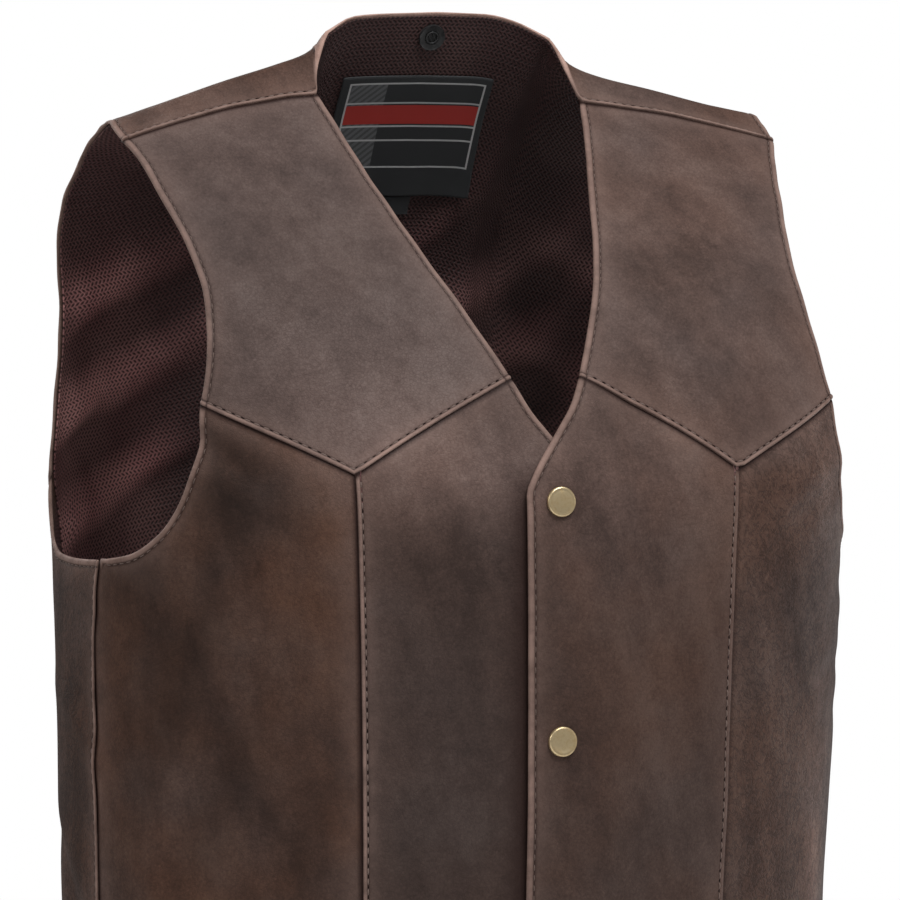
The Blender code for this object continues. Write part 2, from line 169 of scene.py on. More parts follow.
class Mark(NamedTuple):
    """A point of the cut: angle from the centre line and drop from the ridge."""

    angle: float
    drop: float


def rows_of(kind: type, *rows: tuple[float, ...]) -> tuple:
    """Returns a table's rows, each with the named columns of its kind."""
    return tuple(kind(*row) for row in rows)


SECTIONS = rows_of(
    Section,
    (0.000, 0.2030, 0.0003, 0.0003, 6.7, 0.0130),
    (0.004, 0.2050, 0.0128, 0.0133, 6.6, 0.0150),
    (0.016, 0.2060, 0.0370, 0.0385, 6.2, 0.0165),
    (0.036, 0.2065, 0.0615, 0.0590, 5.6, 0.0160),
    (0.064, 0.2060, 0.0900, 0.0780, 4.6, 0.0140),
    (0.100, 0.2050, 0.1190, 0.0920, 3.6, 0.0105),
    (0.144, 0.2045, 0.1395, 0.1060, 3.0, 0.0070),
    (0.196, 0.2050, 0.1480, 0.1165, 2.6, 0.0040),
    (0.324, 0.2055, 0.1455, 0.1210, 2.2, 0.0000),
    (0.441, 0.2040, 0.1390, 0.1190, 2.1, -0.0020),
    (0.590, 0.2060, 0.1360, 0.1230, 2.1, -0.0030),
)
RIDGE = rows_of(
    Ridge,
    (0.0000, 0.0598, 0.0598),
    (0.0280, 0.0593, 0.0584),
    (0.0450, 0.0549, 0.0561),
    (0.0600, 0.0445, 0.0448),
    (0.0715, 0.0298, 0.0330),
    (0.0880, 0.0230, 0.0270),
    (0.1200, 0.0160, 0.0168),
    (0.1500, 0.0090, 0.0064),
    (0.1795, 0.0035, -0.0035),
    (0.2150, -0.0060, -0.0135),
)
FOLDS = rows_of(
    Fold,
    (58.0, 0.300, 0.575, 9.0, 0.0022),
    (-61.0, 0.330, 0.575, 8.0, 0.0026),
    (41.0, 0.400, 0.575, 8.0, -0.0018),
    (-43.0, 0.370, 0.575, 9.0, -0.0020),
    (132.0, 0.300, 0.575, 10.0, 0.0028),
    (-136.0, 0.260, 0.575, 11.0, 0.0032),
    (154.0, 0.340, 0.575, 10.0, -0.0028),
    (-158.0, 0.380, 0.575, 9.0, -0.0024),
    (177.0, 0.280, 0.575, 12.0, 0.0022),
)
SWELLS = rows_of(
    Swell,
    (56.0, 0.172, 20.0, 0.030, 0.0047),
    (-118.0, 0.180, 16.0, 0.025, 0.0020),
    (76.0, 0.410, 24.0, 0.085, -0.0042),
)
# Creases of the leather, by angle round from the middle of the front
LEATHER_CREASES = rows_of(
    Crease,
    (-46.0, 0.166, 0.030, 0.0060, -38.0, -0.0017),
    (-44.0, 0.184, 0.040, 0.0085, -30.0, 0.0015),
    (-38.0, 0.206, 0.045, 0.0090, -24.0, -0.0011),
    (47.0, 0.190, 0.045, 0.0080, 28.0, -0.0014),
    (60.0, 0.222, 0.035, 0.0070, 18.0, -0.0009),
    (66.0, 0.250, 0.040, 0.0075, 12.0, 0.0008),
    (58.0, 0.280, 0.040, 0.0065, 8.0, -0.0010),
    (68.0, 0.304, 0.040, 0.0080, -6.0, -0.0007),
    (-66.0, 0.250, 0.040, 0.0080, -15.0, -0.0014),
    (-58.0, 0.330, 0.055, 0.0100, -24.0, 0.0016),
    (-50.0, 0.390, 0.070, 0.0110, -62.0, -0.0015),
    (-20.0, 0.260, 0.090, 0.0140, 80.0, -0.0013),
    (18.0, 0.330, 0.080, 0.0150, 98.0, -0.0012),
    (-86.0, 0.300, 0.050, 0.0080, -30.0, 0.0016),
    (-92.0, 0.380, 0.060, 0.0090, -38.0, -0.0018),
    (88.0, 0.280, 0.050, 0.0080, 32.0, 0.0016),
    (94.0, 0.350, 0.060, 0.0090, 40.0, -0.0017),
    (-28.0, 0.050, 0.060, 0.0120, 60.0, 0.0010),
    (30.0, 0.062, 0.070, 0.0130, -55.0, 0.0010),
    (158.0, 0.120, 0.080, 0.0110, 35.0, -0.0026),
    (-160.0, 0.134, 0.085, 0.0120, -32.0, -0.0024),
    (168.0, 0.215, 0.080, 0.0110, 48.0, 0.0024),
    (-166.0, 0.245, 0.070, 0.0120, -42.0, 0.0025),
    (178.0, 0.352, 0.065, 0.0120, 7.0, -0.0028),
    (-178.0, 0.392, 0.050, 0.0100, -6.0, -0.0022),
    (150.0, 0.410, 0.070, 0.0110, -14.0, 0.0023),
    (-148.0, 0.400, 0.070, 0.0110, 18.0, -0.0024),
    (140.0, 0.300, 0.060, 0.0100, -34.0, -0.0020),
    (-140.0, 0.320, 0.060, 0.0100, 36.0, -0.0021),
)
# Darker (below 0) and paler places of the leather; the rows marked below are painted light and shade
STAINS_AND_PAINTED_LIGHT = rows_of(
    StainAndPaintedLight,
    # painted shade under the seam of the wearer's right yoke
    (-42.0, 0.180, 0.030, 0.026, -25.0, -0.58),
    (-60.0, 0.285, 0.024, 0.070, 0.0, -0.28),
    # painted sheen on the lower tip of the wearer's right yoke, and painted light below the yokes by the
    # front edge
    (-24.0, 0.160, 0.050, 0.030, -20.0, 0.42),
    (-6.0, 0.178, 0.060, 0.022, 0.0, 0.40),
    # painted shade at the top of the wearer's right yoke
    (-30.0, 0.070, 0.060, 0.035, 0.0, -0.14),
    (6.0, 0.215, 0.024, 0.030, 0.0, 0.22),
    (48.0, 0.148, 0.030, 0.030, 0.0, 0.12),
    (-17.0, 0.370, 0.050, 0.090, 0.0, -0.24),
    (15.0, 0.360, 0.050, 0.100, 0.0, -0.18),
    # painted sheen low on the wearer's left side front, near its outline
    (53.2, 0.382, 0.0160, 0.086, 0.0, 1.00),
    (-52.0, 0.262, 0.010, 0.045, -18.0, -0.30),
    (-47.0, 0.330, 0.012, 0.040, -24.0, -0.26),
    (-66.0, 0.225, 0.014, 0.020, -30.0, -0.22),
    (-58.0, 0.345, 0.012, 0.030, -20.0, 0.26),
    (-70.0, 0.300, 0.010, 0.030, -16.0, 0.22),
)
# Creases of the back lining, which hangs more loosely into the hollow
LINING_CREASES = rows_of(
    Crease,
    (-140.0, 0.086, 0.085, 0.0120, 156.0, -0.0058),
    (-141.0, 0.134, 0.100, 0.0140, 153.0, -0.0064),
    (-134.0, 0.197, 0.080, 0.0130, 150.0, -0.0060),
    (-152.0, 0.170, 0.060, 0.0090, 150.0, -0.0036),
    (-130.0, 0.112, 0.045, 0.0060, 152.0, -0.0026),
    (-126.0, 0.160, 0.045, 0.0060, 146.0, -0.0026),
    (-172.0, 0.100, 0.070, 0.0110, 126.0, -0.0040),
    (176.0, 0.066, 0.055, 0.0080, 138.0, -0.0036),
    (168.0, 0.096, 0.080, 0.0110, 146.0, -0.0050),
    (164.0, 0.136, 0.080, 0.0120, 140.0, -0.0050),
    (156.0, 0.175, 0.080, 0.0120, 148.0, -0.0050),
    (136.0, 0.095, 0.080, 0.0110, -164.0, -0.0050),
    (138.0, 0.150, 0.090, 0.0130, -160.0, -0.0056),
    (178.0, 0.230, 0.090, 0.0150, 14.0, -0.0045),
    (-150.0, 0.280, 0.090, 0.0150, 40.0, -0.0045),
    (152.0, 0.300, 0.090, 0.0150, -36.0, -0.0045),
    (-170.0, 0.380, 0.100, 0.0160, 60.0, -0.0045),
    (166.0, 0.430, 0.100, 0.0160, -64.0, -0.0045),
)

NECK_EDGE = rows_of(
    Mark,
    (19.5, -0.0070), (17.8, -0.0190), (16.8, -0.0275), (15.2, -0.0430), (13.6, -0.0600),
    (11.8, -0.0775), (9.9, -0.0935), (7.6, -0.1115), (5.0, -0.1310),
)
NOTCH_EDGE = rows_of(Mark, (5.0, -0.1310), (2.8, -0.1460), (0.2, -0.1585), (-3.1, -0.1750), (-4.8, -0.1860))
NECK_RIM = rows_of(
    Mark,
    (19.5, -0.0070), (18.9, -0.0029), (17.9, -0.0008), (16.5, 0.0001), (14.6, 0.0005), (12.5, 0.0007),
    (8.0, 0.0008), (0.0, 0.0008),
)
SHOULDER_SEAM = rows_of(
    Mark,
    (19.5, -0.0070), (24.5, -0.0062), (29.6, -0.0062), (34.6, -0.0070), (39.2, -0.0088),
    (43.5, -0.0118),
)
YOKE_INNER = rows_of(Mark, (5.0, -0.1310), (13.2, -0.1455), (19.7, -0.1585), (27.9, -0.1770))
YOKE_OUTER = rows_of(Mark, (27.9, -0.1770), (37.2, -0.1600), (47.6, -0.1430))
ARM_UPPER = rows_of(
    Mark,
    (43.5, -0.0118), (42.6, -0.0240), (42.1, -0.0420), (41.7, -0.0630), (42.0, -0.0810),
    (43.4, -0.1020), (45.1, -0.1215), (47.6, -0.1430),
)
ARM_LOWER = rows_of(
    Mark,
    (47.6, -0.1430), (49.0, -0.1620), (51.1, -0.1780), (54.3, -0.1945), (58.5, -0.2080),
    (65.0, -0.2175), (74.0, -0.2212),
)
ARM_SIDE = rows_of(
    Mark,
    (74.0, -0.2212), (83.0, -0.2217), (95.0, -0.2205), (106.0, -0.2130), (117.0, -0.1830),
)
ARM_BACK = rows_of(
    Mark,
    (63.0, 0.1830), (58.0, 0.1450), (53.4, 0.1180), (50.7, 0.0940), (48.3, 0.0640), (46.1, 0.0420),
    (43.9, 0.0220), (43.5, 0.0060), (43.7, 0.0000), (43.6, -0.0050), (43.5, -0.0118),
)
FRONT_SEAM_HEM = Mark(27.5, -HEM_DROP)
SIDE_SEAM = rows_of(Mark, (74.0, -0.2212), (76.5, -0.2600), (76.8, -0.3600), (78.0, -HEM_DROP))
SIDE_BACK_HEM = 61.0
BACK_HEM = Mark(180.0 - SIDE_BACK_HEM, -HEM_DROP)

# Shares of a border's points that each of its stretches takes, as in the solids
INNER_COLS, OUTER_COLS, NECK_COLS = 6, 6, 8
NOTCH_ROWS, EDGE_ROWS = 4, 12
ARM_ROWS, SEAM_ROWS, BACK_ARM_ROWS = 6, 10, 13


def column(rows: Sequence[NamedTuple], name: str) -> Array:
    """Returns one named column of a table."""
    return np.array([getattr(row, name) for row in rows])


def smooth(xs: Array, ys: Array, x: Array) -> Array:
    """Reads a smooth curve through a table that never overshoots its rows.

    Args:
        xs: the table's places, rising.
        ys: the table's values.
        x: the places to read at.

    Returns:
        The values there.
    """
    step = np.diff(xs)
    slope = np.diff(ys) / step
    inner = np.zeros(len(xs))
    left, right = slope[:-1], slope[1:]
    near = 2 * step[1:] + step[:-1]
    far = step[1:] + 2 * step[:-1]
    same = left * right > 0
    safe_left = np.where(same, left, 1.0)
    safe_right = np.where(same, right, 1.0)
    inner[1:-1] = np.where(same, (near + far) / (near / safe_left + far / safe_right), 0.0)
    inner[0], inner[-1] = slope[0], slope[-1]
    x = np.clip(x, xs[0], xs[-1])
    cell = np.clip(np.searchsorted(xs, x, side="right") - 1, 0, len(xs) - 2)
    t = (x - xs[cell]) / step[cell]
    low = (1 + 2 * t) * (1 - t) ** 2 * ys[cell] + t * (1 - t) ** 2 * step[cell] * inner[cell]
    high = t ** 2 * (3 - 2 * t) * ys[cell + 1] - t ** 2 * (1 - t) * step[cell] * inner[cell + 1]
    return low + high


def ramp(value: Array, start: float, end: float) -> Array:
    """Rises softly from 0 at start to 1 at end."""
    t = np.clip((value - start) / (end - start), 0.0, 1.0)
    return t * t * (3 - 2 * t)


def lap_of(drop: Array) -> Array:
    """Turns a signed drop into a lap, which runs evenly over the shoulder's round ridge."""
    return np.sign(drop) * np.sqrt(np.abs(drop))


def unit(vectors: Array) -> Array:
    """Returns vectors of length 1."""
    return vectors / np.maximum(np.linalg.norm(vectors, axis=-1, keepdims=True), 1e-12)


def lengths(points: Array, axis: int = 0) -> Array:
    """Returns the length from the start of a line, or of a grid's axis, to each point."""
    steps = np.linalg.norm(np.diff(points, axis=axis), axis=-1)
    start = [(int(number == axis), 0) for number in range(steps.ndim)]
    return np.pad(np.cumsum(steps, axis=axis), start)


def round_from_front(angle: Array, lap: Array) -> Array:
    """Turns an angle from the centre line into one round from the middle of the front."""
    return np.where(lap >= 0, 180.0 - angle, angle)


def round_off(turn: Array, angle: float) -> Array:
    """Returns how far round each point lies from an angle, from -180 to 180 degrees."""
    return (turn - angle + 180.0) % 360.0 - 180.0


@dataclass(frozen=True)
class TorsoForm:
    """The round form of the worn vest, read by angle and lap."""

    sections: tuple[Section, ...] = SECTIONS
    ridge: tuple[Ridge, ...] = RIDGE
    even_girth: float = 0.17
    bow: float = 0.25
    taper: float = 1.4
    echo: float = 0.45
    echo_place: float = 1.5
    echo_width: float = 1.2

    def bare(self, angle: Array, lap: Array) -> Array:
        """Returns the form's points, with no folds.

        Args:
            angle: degrees from the centre line.
            lap: root of the drop, negative down the front.

        Returns:
            The points, in the last axis.
        """
        root = np.sqrt(column(self.sections, "drop"))
        depth = np.abs(lap)
        half_width, front, back, fullness, centre = (
            smooth(root, column(self.sections, name), depth)
            for name in ("half_width", "front", "back", "fullness", "centre")
        )
        turn = np.radians(round_from_front(angle, lap))
        side, ahead = np.sin(turn), np.cos(turn)
        reach = (np.abs(side) ** fullness + np.abs(ahead) ** fullness) ** (-1.0 / fullness)
        x = half_width * reach * side
        y = centre - np.where(ahead > 0, front, back) * reach * ahead
        out = column(self.ridge, "out")
        left, right = (smooth(out, column(self.ridge, name), np.abs(x)) for name in ("left", "right"))
        drop = lap * lap
        height = np.where(x >= 0, left, right) * np.exp(-drop / FADE) - drop
        return np.stack([x, y, height], axis=-1)

    def outward(self, angle: Array, lap: Array) -> Array:
        """Returns the form's unit normals."""
        small_turn, small_lap = 0.05, 0.0005
        across = self.bare(angle + small_turn, lap) - self.bare(angle - small_turn, lap)
        along = self.bare(angle, lap + small_lap) - self.bare(angle, lap - small_lap)
        return unit(np.cross(across, along))

    def folds(self, angle: Array, lap: Array) -> Array:
        """Returns how far the soft folds and swells stand out at each point."""
        turn, drop = round_from_front(angle, lap), lap * lap
        height = np.zeros(np.shape(turn))
        for row in FOLDS + SWELLS:
            if isinstance(row, Fold):
                share = ramp(drop, row.top, row.bottom)
            else:
                share = np.exp(-((drop - row.drop) / row.length) ** 2)
            across = round_off(turn, row.angle) / row.width
            height = height + row.height * np.exp(-across ** 2) * share
        return height

    def slanted(self, row: Crease | StainAndPaintedLight, turn: Array, drop: Array) -> tuple[Array, Array]:
        """Measures from a row's middle, along its slant and square to it."""
        across = np.radians(round_off(turn, row.angle)) * self.even_girth
        down = row.drop - drop
        cos, sin = math.cos(math.radians(row.slant)), math.sin(math.radians(row.slant))
        return across * cos + down * sin, down * cos - across * sin

    def creases(self, angle: Array, lap: Array, table: Sequence[Crease]) -> Array:
        """Returns how far a table's creases stand out at each point.

        Args:
            angle: degrees from the centre line.
            lap: root of the drop, negative down the front.
            table: the creases, each a trough or ridge with a softer one beside it.

        Returns:
            The heights.
        """
        turn, drop = round_from_front(angle, lap), lap * lap
        height = np.zeros(np.shape(turn))
        for row in table:
            along, square = self.slanted(row, turn, drop)
            u = along / row.length
            bend = self.bow * row.length * (u * u)
            v = (square + bend) / row.width
            shape = np.exp(-v * v) - self.echo * np.exp(-((v - self.echo_place) / self.echo_width) ** 2)
            height = height + row.height * np.exp(-u * u * self.taper) * shape
        return height

    def settled(self, angle: Array, lap: Array) -> Array:
        """Returns how far the leather stands out at each point, with its folds and creases."""
        return self.folds(angle, lap) + self.creases(angle, lap, LEATHER_CREASES)

    def stains_and_painted_light(self, angle: Array, lap: Array) -> Array:
        """Returns how much paler or darker the leather is at each point, painted light and shade included."""
        turn, drop = round_from_front(angle, lap), lap * lap
        total = np.zeros(np.shape(turn))
        for row in STAINS_AND_PAINTED_LIGHT:
            along, square = self.slanted(row, turn, drop)
            u, v = along / row.across, square / row.down
            total = total + row.strength * np.exp(-u * u - v * v)
        return total

    def lift(self, angle: Array, lap: Array) -> Array:
        """Returns how far the wearer's left front stands out to lie over the right one."""
        drop = lap * lap
        down = ramp(drop, OVERLAP_TOP, OVERLAP_FULL)
        return OVERLAP_LIFT * down * ramp(angle, OVERLAP_OUT, OVERLAP_IN)


FORM = TorsoForm()


class Edge(Enum):
    """How one stretch of a panel's border is finished."""

    TURNED = "turned under and stitched"
    OVER = "folded and stitched over its neighbour"
    UNDER = "hidden under its neighbour"


class Finish(NamedTuple):
    """The leather's height, wear (partly a painted highlight on lapped ridges) and painted shadow at a
    distance in from a border.
    """

    away: float
    height: float
    wear: float
    dark: float


# The dark column is painted shadow: in the stitch grooves, at the step of a lapped seam and along an edge
# hidden under its neighbour.
EDGE_FINISH: dict[Edge, tuple[Finish, ...]] = {
    Edge.TURNED: rows_of(
        Finish,
        (0.0000, -0.00050, 1.00, 0.0),
        (0.0004, -0.00008, 1.00, 0.0),
        (0.0009, 0.00020, 1.00, 0.0),
        (0.0022, 0.00022, 0.75, 0.0),
        (0.0029, 0.00000, 0.40, 0.2),
        (0.0034, -0.00036, 0.10, 0.80),
        (0.0040, -0.00004, 0.20, 0.15),
        (0.0052, 0.00010, 0.22, 0.0),
        (0.0100, 0.00000, 0.08, 0.0),
        (0.0200, 0.00000, 0.00, 0.0),
    ),
    # on a lapped seam the wear near 1 over the ridge is partly a painted highlight of the ridge's lit crest
    Edge.OVER: rows_of(
        Finish,
        (0.0000, 0.00040, 0.70, 0.3),
        (0.0004, 0.00080, 1.00, 0.0),
        (0.0011, 0.00100, 1.00, 0.0),
        (0.0017, 0.00065, 0.80, 0.0),
        (0.0023, -0.00005, 0.10, 0.70),
        (0.0030, 0.00015, 0.30, 0.15),
        (0.0045, 0.00010, 0.25, 0.0),
        (0.0095, 0.00000, 0.08, 0.0),
        (0.0200, 0.00000, 0.00, 0.0),
    ),
    Edge.UNDER: rows_of(
        Finish,
        (0.0000, -0.00040, 0.00, 1.0),
        (0.0007, -0.00034, 0.00, 1.0),
        (0.0013, -0.00016, 0.00, 0.70),
        (0.0021, -0.00004, 0.10, 0.25),
        (0.0032, 0.00000, 0.18, 0.0),
        (0.0050, 0.00006, 0.18, 0.0),
        (0.0120, 0.00000, 0.05, 0.0),
        (0.0200, 0.00000, 0.00, 0.0),
    ),
}
EDGE_STEPS = (
    0.0, 0.0004, 0.0008, 0.0012, 0.0017, 0.0020, 0.0023, 0.0026, 0.0029, 0.0032, 0.0034,
    0.0037, 0.0041, 0.0046, 0.0053, 0.0063, 0.0078, 0.0098, 0.0125,
)
SAME_PLACE = 1e-5
TONGUE = 0.0018
TONGUE_SINK = 0.0002
TONGUE_LEAST = 0.00005
INNER_STEP = 0.0040
ROUGH_LINES = 81
BESIDE = 3
RIM_BULGE = 0.00022
LIP_SOFT = 0.0005
CLEAR_WIDTHS = (0.0024, 0.0050)
WAVE_HEIGHT, WAVE_INSIDE = 0.00022, 0.35
WAVES_DOWN, WAVES_ACROSS = 60.0, 11.0

# Painted light and shade of whole panels: painted shade lower down, by drop; a painted highlight with the
# wear at the back's neck, by angle and width; a painted shadow beside the lapped front edge, by angle and
# drop
LOWER_PAINTED_SHADE, LOWER_PAINTED_SHADE_DROPS = 0.27, (0.165, 0.255)
NECK_PAINTED_HIGHLIGHT, NECK_RUB_AND_HIGHLIGHT_ANGLES, NECK_RUB_AND_HIGHLIGHT_WIDTHS = 1.3, (18.4, 19.7), (0.0008, 0.0036)
LAP_SHADOW, LAP_SHADOW_ANGLE, LAP_SHADOW_DROPS = 0.80, 2.4, (0.165, 0.200)


@dataclass(frozen=True)
class Run:
    """One stretch of a border: a smooth line through marks, read by a share of its points."""

    marks: tuple[Mark, ...]
    count: int = 1
    by_lap: bool = False
    backwards: bool = False
    other_side: bool = False

    def read(self, share: Array) -> Array:
        """Returns angles and laps at shares from 0 to 1 along the stretch."""
        angle = column(self.marks, "angle")
        lap = lap_of(column(self.marks, "drop"))
        key = np.abs(lap - lap[0]) if self.by_lap else lengths(FORM.bare(angle, lap))
        at = (1.0 - share if self.backwards else share) * key[-1]
        turn = -1.0 if self.other_side else 1.0
        return np.stack([turn * smooth(key, angle, at), smooth(key, lap, at)], axis=-1)


@dataclass(frozen=True)
class Border:
    """One side of a panel, made of stretches, each with its kind of edge."""

    runs: tuple[Run, ...]
    edges: tuple[Edge, ...]
    pull: float = 0.0

    def read(self, share: Array) -> Array:
        """Returns angles and laps at shares from 0 to 1 along the border."""
        ends = np.cumsum([run.count for run in self.runs])
        place = share * ends[-1]
        points = np.zeros((len(share), 2))
        start = 0
        for run, end in zip(self.runs, ends):
            inside = (place >= start) & (place <= end)
            points[inside] = run.read((place[inside] - start) / run.count)
            start = end
        points[:, 0] -= self.pull * np.sin(math.pi * share)
        return points

    def weight(self, edge: Edge, share: Array) -> Array:
        """Returns how far a kind of edge holds at each share of the border."""
        ends = np.cumsum([run.count for run in self.runs]) / sum(run.count for run in self.runs)
        starts = np.concatenate([[0.0], ends[:-1]])
        soft = 0.002
        total = np.zeros(len(share))
        for kind, start, end in zip(self.edges, starts, ends):
            if kind is edge:
                rise = 1.0 if start == 0.0 else ramp(share, start - soft, start + soft)
                fall = 1.0 if end == 1.0 else 1.0 - ramp(share, end - soft, end + soft)
                total = total + rise * fall
        return np.clip(total, 0.0, 1.0)


class Side(Enum):
    """A panel's four sides, in its own grid."""

    TOP = "top"
    BOTTOM = "bottom"
    LEFT = "left"
    RIGHT = "right"

    @property
    def upright(self) -> bool:
        """Tells whether the side runs down the panel."""
        return self in (Side.LEFT, Side.RIGHT)


@dataclass
class Grid:
    """A panel's points on the form, with their distances in from each side."""

    share_across: Array
    share_down: Array
    points: Array
    out: Array
    angle: Array
    lap: Array
    away: dict[Side, Array]

    def share(self, side: Side) -> Array:
        """Returns the grid's shares along one side."""
        return self.share_down if side.upright else self.share_across


def steps_in(along: Array, shares: Array, starts: Sequence[float]) -> Array:
    """Chooses the shares along a panel at which its grid has lines.

    Args:
        along: distance along the panel at each of the even shares.
        shares: the even shares.
        starts: how far in from each end the first line lies.

    Returns:
        The shares, close together at both ends and even in between.
    """
    whole = along[-1]
    low = [step for step in EDGE_STEPS if step >= starts[0]]
    high = [whole - step for step in EDGE_STEPS if step >= starts[1]]
    low = [starts[0]] + [step for step in low if step > starts[0] + SAME_PLACE]
    high = [whole - starts[1]] + [step for step in high if step < whole - starts[1] - SAME_PLACE]
    count = max(2, int(round((high[-1] - low[-1]) / INNER_STEP)))
    middle = np.linspace(low[-1], high[-1], count + 1)[1:-1]
    return np.interp(np.concatenate([low, middle, high[::-1]]), along, shares)


@dataclass
class Cut:
    """A panel's outline as four borders, and which side of the body it is for."""

    top: Border
    bottom: Border
    left: Border
    right: Border
    other_side: bool = False

    def spread(self, across: Array, down: Array) -> Array:
        """Fills the outline with a grid of angles and laps.

        Args:
            across: shares of the width at the grid's columns.
            down: shares of the length at the grid's rows.

        Returns:
            Angles and laps, rows first.
        """
        s, t = across[None, :, None], down[:, None, None]
        top, bottom = self.top.read(across)[None], self.bottom.read(across)[None]
        left, right = self.left.read(down)[:, None], self.right.read(down)[:, None]
        ruled = (1 - t) * top + t * bottom + (1 - s) * left + s * right
        ends = np.array([0.0, 1.0])
        first, last = self.top.read(ends), self.bottom.read(ends)
        corners = ((1 - t) * (1 - s) * first[0] + (1 - t) * s * first[1]
                   + t * (1 - s) * last[0] + t * s * last[1])
        places = ruled - corners
        return places * np.array([-1.0, 1.0]) if self.other_side else places

    def border(self, side: Side) -> Border:
        """Returns the border of one side."""
        return getattr(self, side.value)

    def grid(self, starts: dict[Side, float] | None = None) -> Grid:
        """Lays the panel on the form, with lines close together at its borders.

        Args:
            starts: how far in from each side the grid begins, where it isn't at the border.

        Returns:
            The grid.
        """
        starts = starts or {}
        even = np.linspace(0.0, 1.0, ROUGH_LINES)
        places = self.spread(even, even)
        rough = FORM.bare(places[..., 0], places[..., 1])
        along, down = lengths(rough, 1).mean(axis=0), lengths(rough).mean(axis=1)
        columns = steps_in(along, even, (starts.get(Side.LEFT, 0.0), starts.get(Side.RIGHT, 0.0)))
        rows = steps_in(down, even, (starts.get(Side.TOP, 0.0), starts.get(Side.BOTTOM, 0.0)))
        places = self.spread(columns, rows)
        angle, lap = places[..., 0], places[..., 1]
        points = FORM.bare(angle, lap)
        return Grid(columns, rows, points, FORM.outward(angle, lap), angle, lap, distances(points))


def distances(points: Array) -> dict[Side, Array]:
    """Measures how far each of a grid's points lies in from its four sides."""
    from_left, from_top = lengths(points, 1), lengths(points)
    result = {}
    for side, line, inside, length in (
        (Side.LEFT, points[:, 0], points[:, BESIDE], from_left),
        (Side.RIGHT, points[:, -1], points[:, -1 - BESIDE], from_left[:, -1:] - from_left),
        (Side.TOP, points[0], points[BESIDE], from_top),
        (Side.BOTTOM, points[-1], points[-1 - BESIDE], from_top[-1:] - from_top),
    ):
        along = unit(np.gradient(line, axis=0))
        square = np.linalg.norm(np.cross(along, unit(inside - line)), axis=-1)
        result[side] = length * (square[:, None] if side.upright else square[None])
    return result


def border(*pairs: tuple[Run, Edge], pull: float = 0.0) -> Border:
    """Returns a border of stretches and their kinds of edge."""
    return Border(tuple(pair[0] for pair in pairs), tuple(pair[1] for pair in pairs), pull)


def yoke_cut(other_side: bool) -> Cut:
    """Returns the cut of a front yoke."""
    pull = 0.0 if other_side else ARM_PULL
    return Cut(
        top=border((Run(SHOULDER_SEAM), Edge.UNDER)),
        bottom=border((Run(YOKE_INNER), Edge.OVER), (Run(YOKE_OUTER), Edge.OVER)),
        left=border((Run(NECK_EDGE, by_lap=True), Edge.TURNED)),
        right=border((Run(ARM_UPPER, by_lap=True), Edge.TURNED), pull=pull),
        other_side=other_side,
    )


def centre_cut(other_side: bool) -> Cut:
    """Returns the cut of a centre front."""
    edge = (NOTCH_EDGE[-1], Mark(-EDGE_ANGLE, -HEM_DROP))
    return Cut(
        top=border((Run(YOKE_INNER), Edge.UNDER)),
        bottom=border((Run((edge[-1], FRONT_SEAM_HEM)), Edge.TURNED)),
        left=border((Run(NOTCH_EDGE, NOTCH_ROWS), Edge.TURNED), (Run(edge, EDGE_ROWS), Edge.TURNED)),
        right=border((Run((YOKE_INNER[-1], FRONT_SEAM_HEM)), Edge.OVER)),
        other_side=other_side,
    )


def side_front_cut(other_side: bool) -> Cut:
    """Returns the cut of a side front."""
    return Cut(
        top=border((Run(YOKE_OUTER), Edge.UNDER)),
        bottom=border((Run((FRONT_SEAM_HEM, SIDE_SEAM[-1])), Edge.TURNED)),
        left=border((Run((YOKE_INNER[-1], FRONT_SEAM_HEM)), Edge.UNDER)),
        right=border((Run(ARM_LOWER, ARM_ROWS), Edge.TURNED), (Run(SIDE_SEAM, SEAM_ROWS), Edge.UNDER)),
        other_side=other_side,
    )


def side_panel_cut(other_side: bool) -> Cut:
    """Returns the cut of a panel under the arm."""
    return Cut(
        top=border((Run(ARM_SIDE), Edge.TURNED)),
        bottom=border((Run((SIDE_SEAM[-1], BACK_HEM)), Edge.TURNED)),
        left=border((Run(SIDE_SEAM), Edge.OVER)),
        right=border((Run((ARM_SIDE[-1], BACK_HEM)), Edge.UNDER)),
        other_side=other_side,
    )


def back_cut() -> Cut:
    """Returns the cut of the back, which reaches over the shoulders to the front seams."""
    half, seam = NECK_COLS // 2, INNER_COLS + OUTER_COLS
    side_hem = Mark(SIDE_BACK_HEM, HEM_DROP)
    hem = (Mark(0.0, HEM_DROP), side_hem)
    right, left = (
        border((Run(ARM_BACK, BACK_ARM_ROWS, by_lap=True, backwards=True, other_side=other), Edge.TURNED),
               (Run((side_hem, ARM_BACK[0]), SEAM_ROWS, backwards=True, other_side=other), Edge.OVER))
        for other in (True, False)
    )
    return Cut(
        top=border(
            (Run(SHOULDER_SEAM, seam, backwards=True, other_side=True), Edge.OVER),
            (Run(NECK_RIM, half, other_side=True), Edge.TURNED),
            (Run(NECK_RIM, half, backwards=True), Edge.TURNED),
            (Run(SHOULDER_SEAM, seam), Edge.OVER),
        ),
        bottom=border((Run(hem, backwards=True, other_side=True), Edge.TURNED), (Run(hem), Edge.TURNED)),
        left=right,
        right=left,
    )


def linked(name: str, data: bpy.types.ID) -> Item:
    """Makes an object of its data and puts it in the scene."""
    item = bpy.data.objects.new(name, data)
    bpy.context.scene.collection.objects.link(item)
    return item


def new_mesh(name: str, points: Array, faces: Sequence[Sequence[int]],
             materials: Sequence[Material]) -> bpy.types.Mesh:
    """Makes a smooth mesh of points and faces, with its materials."""
    mesh = bpy.data.meshes.new(name)
    mesh.from_pydata(points.tolist(), [], faces)
    for material in materials:
        mesh.materials.append(material)
    mesh.polygons.foreach_set("use_smooth", [True] * len(mesh.polygons))
    return mesh


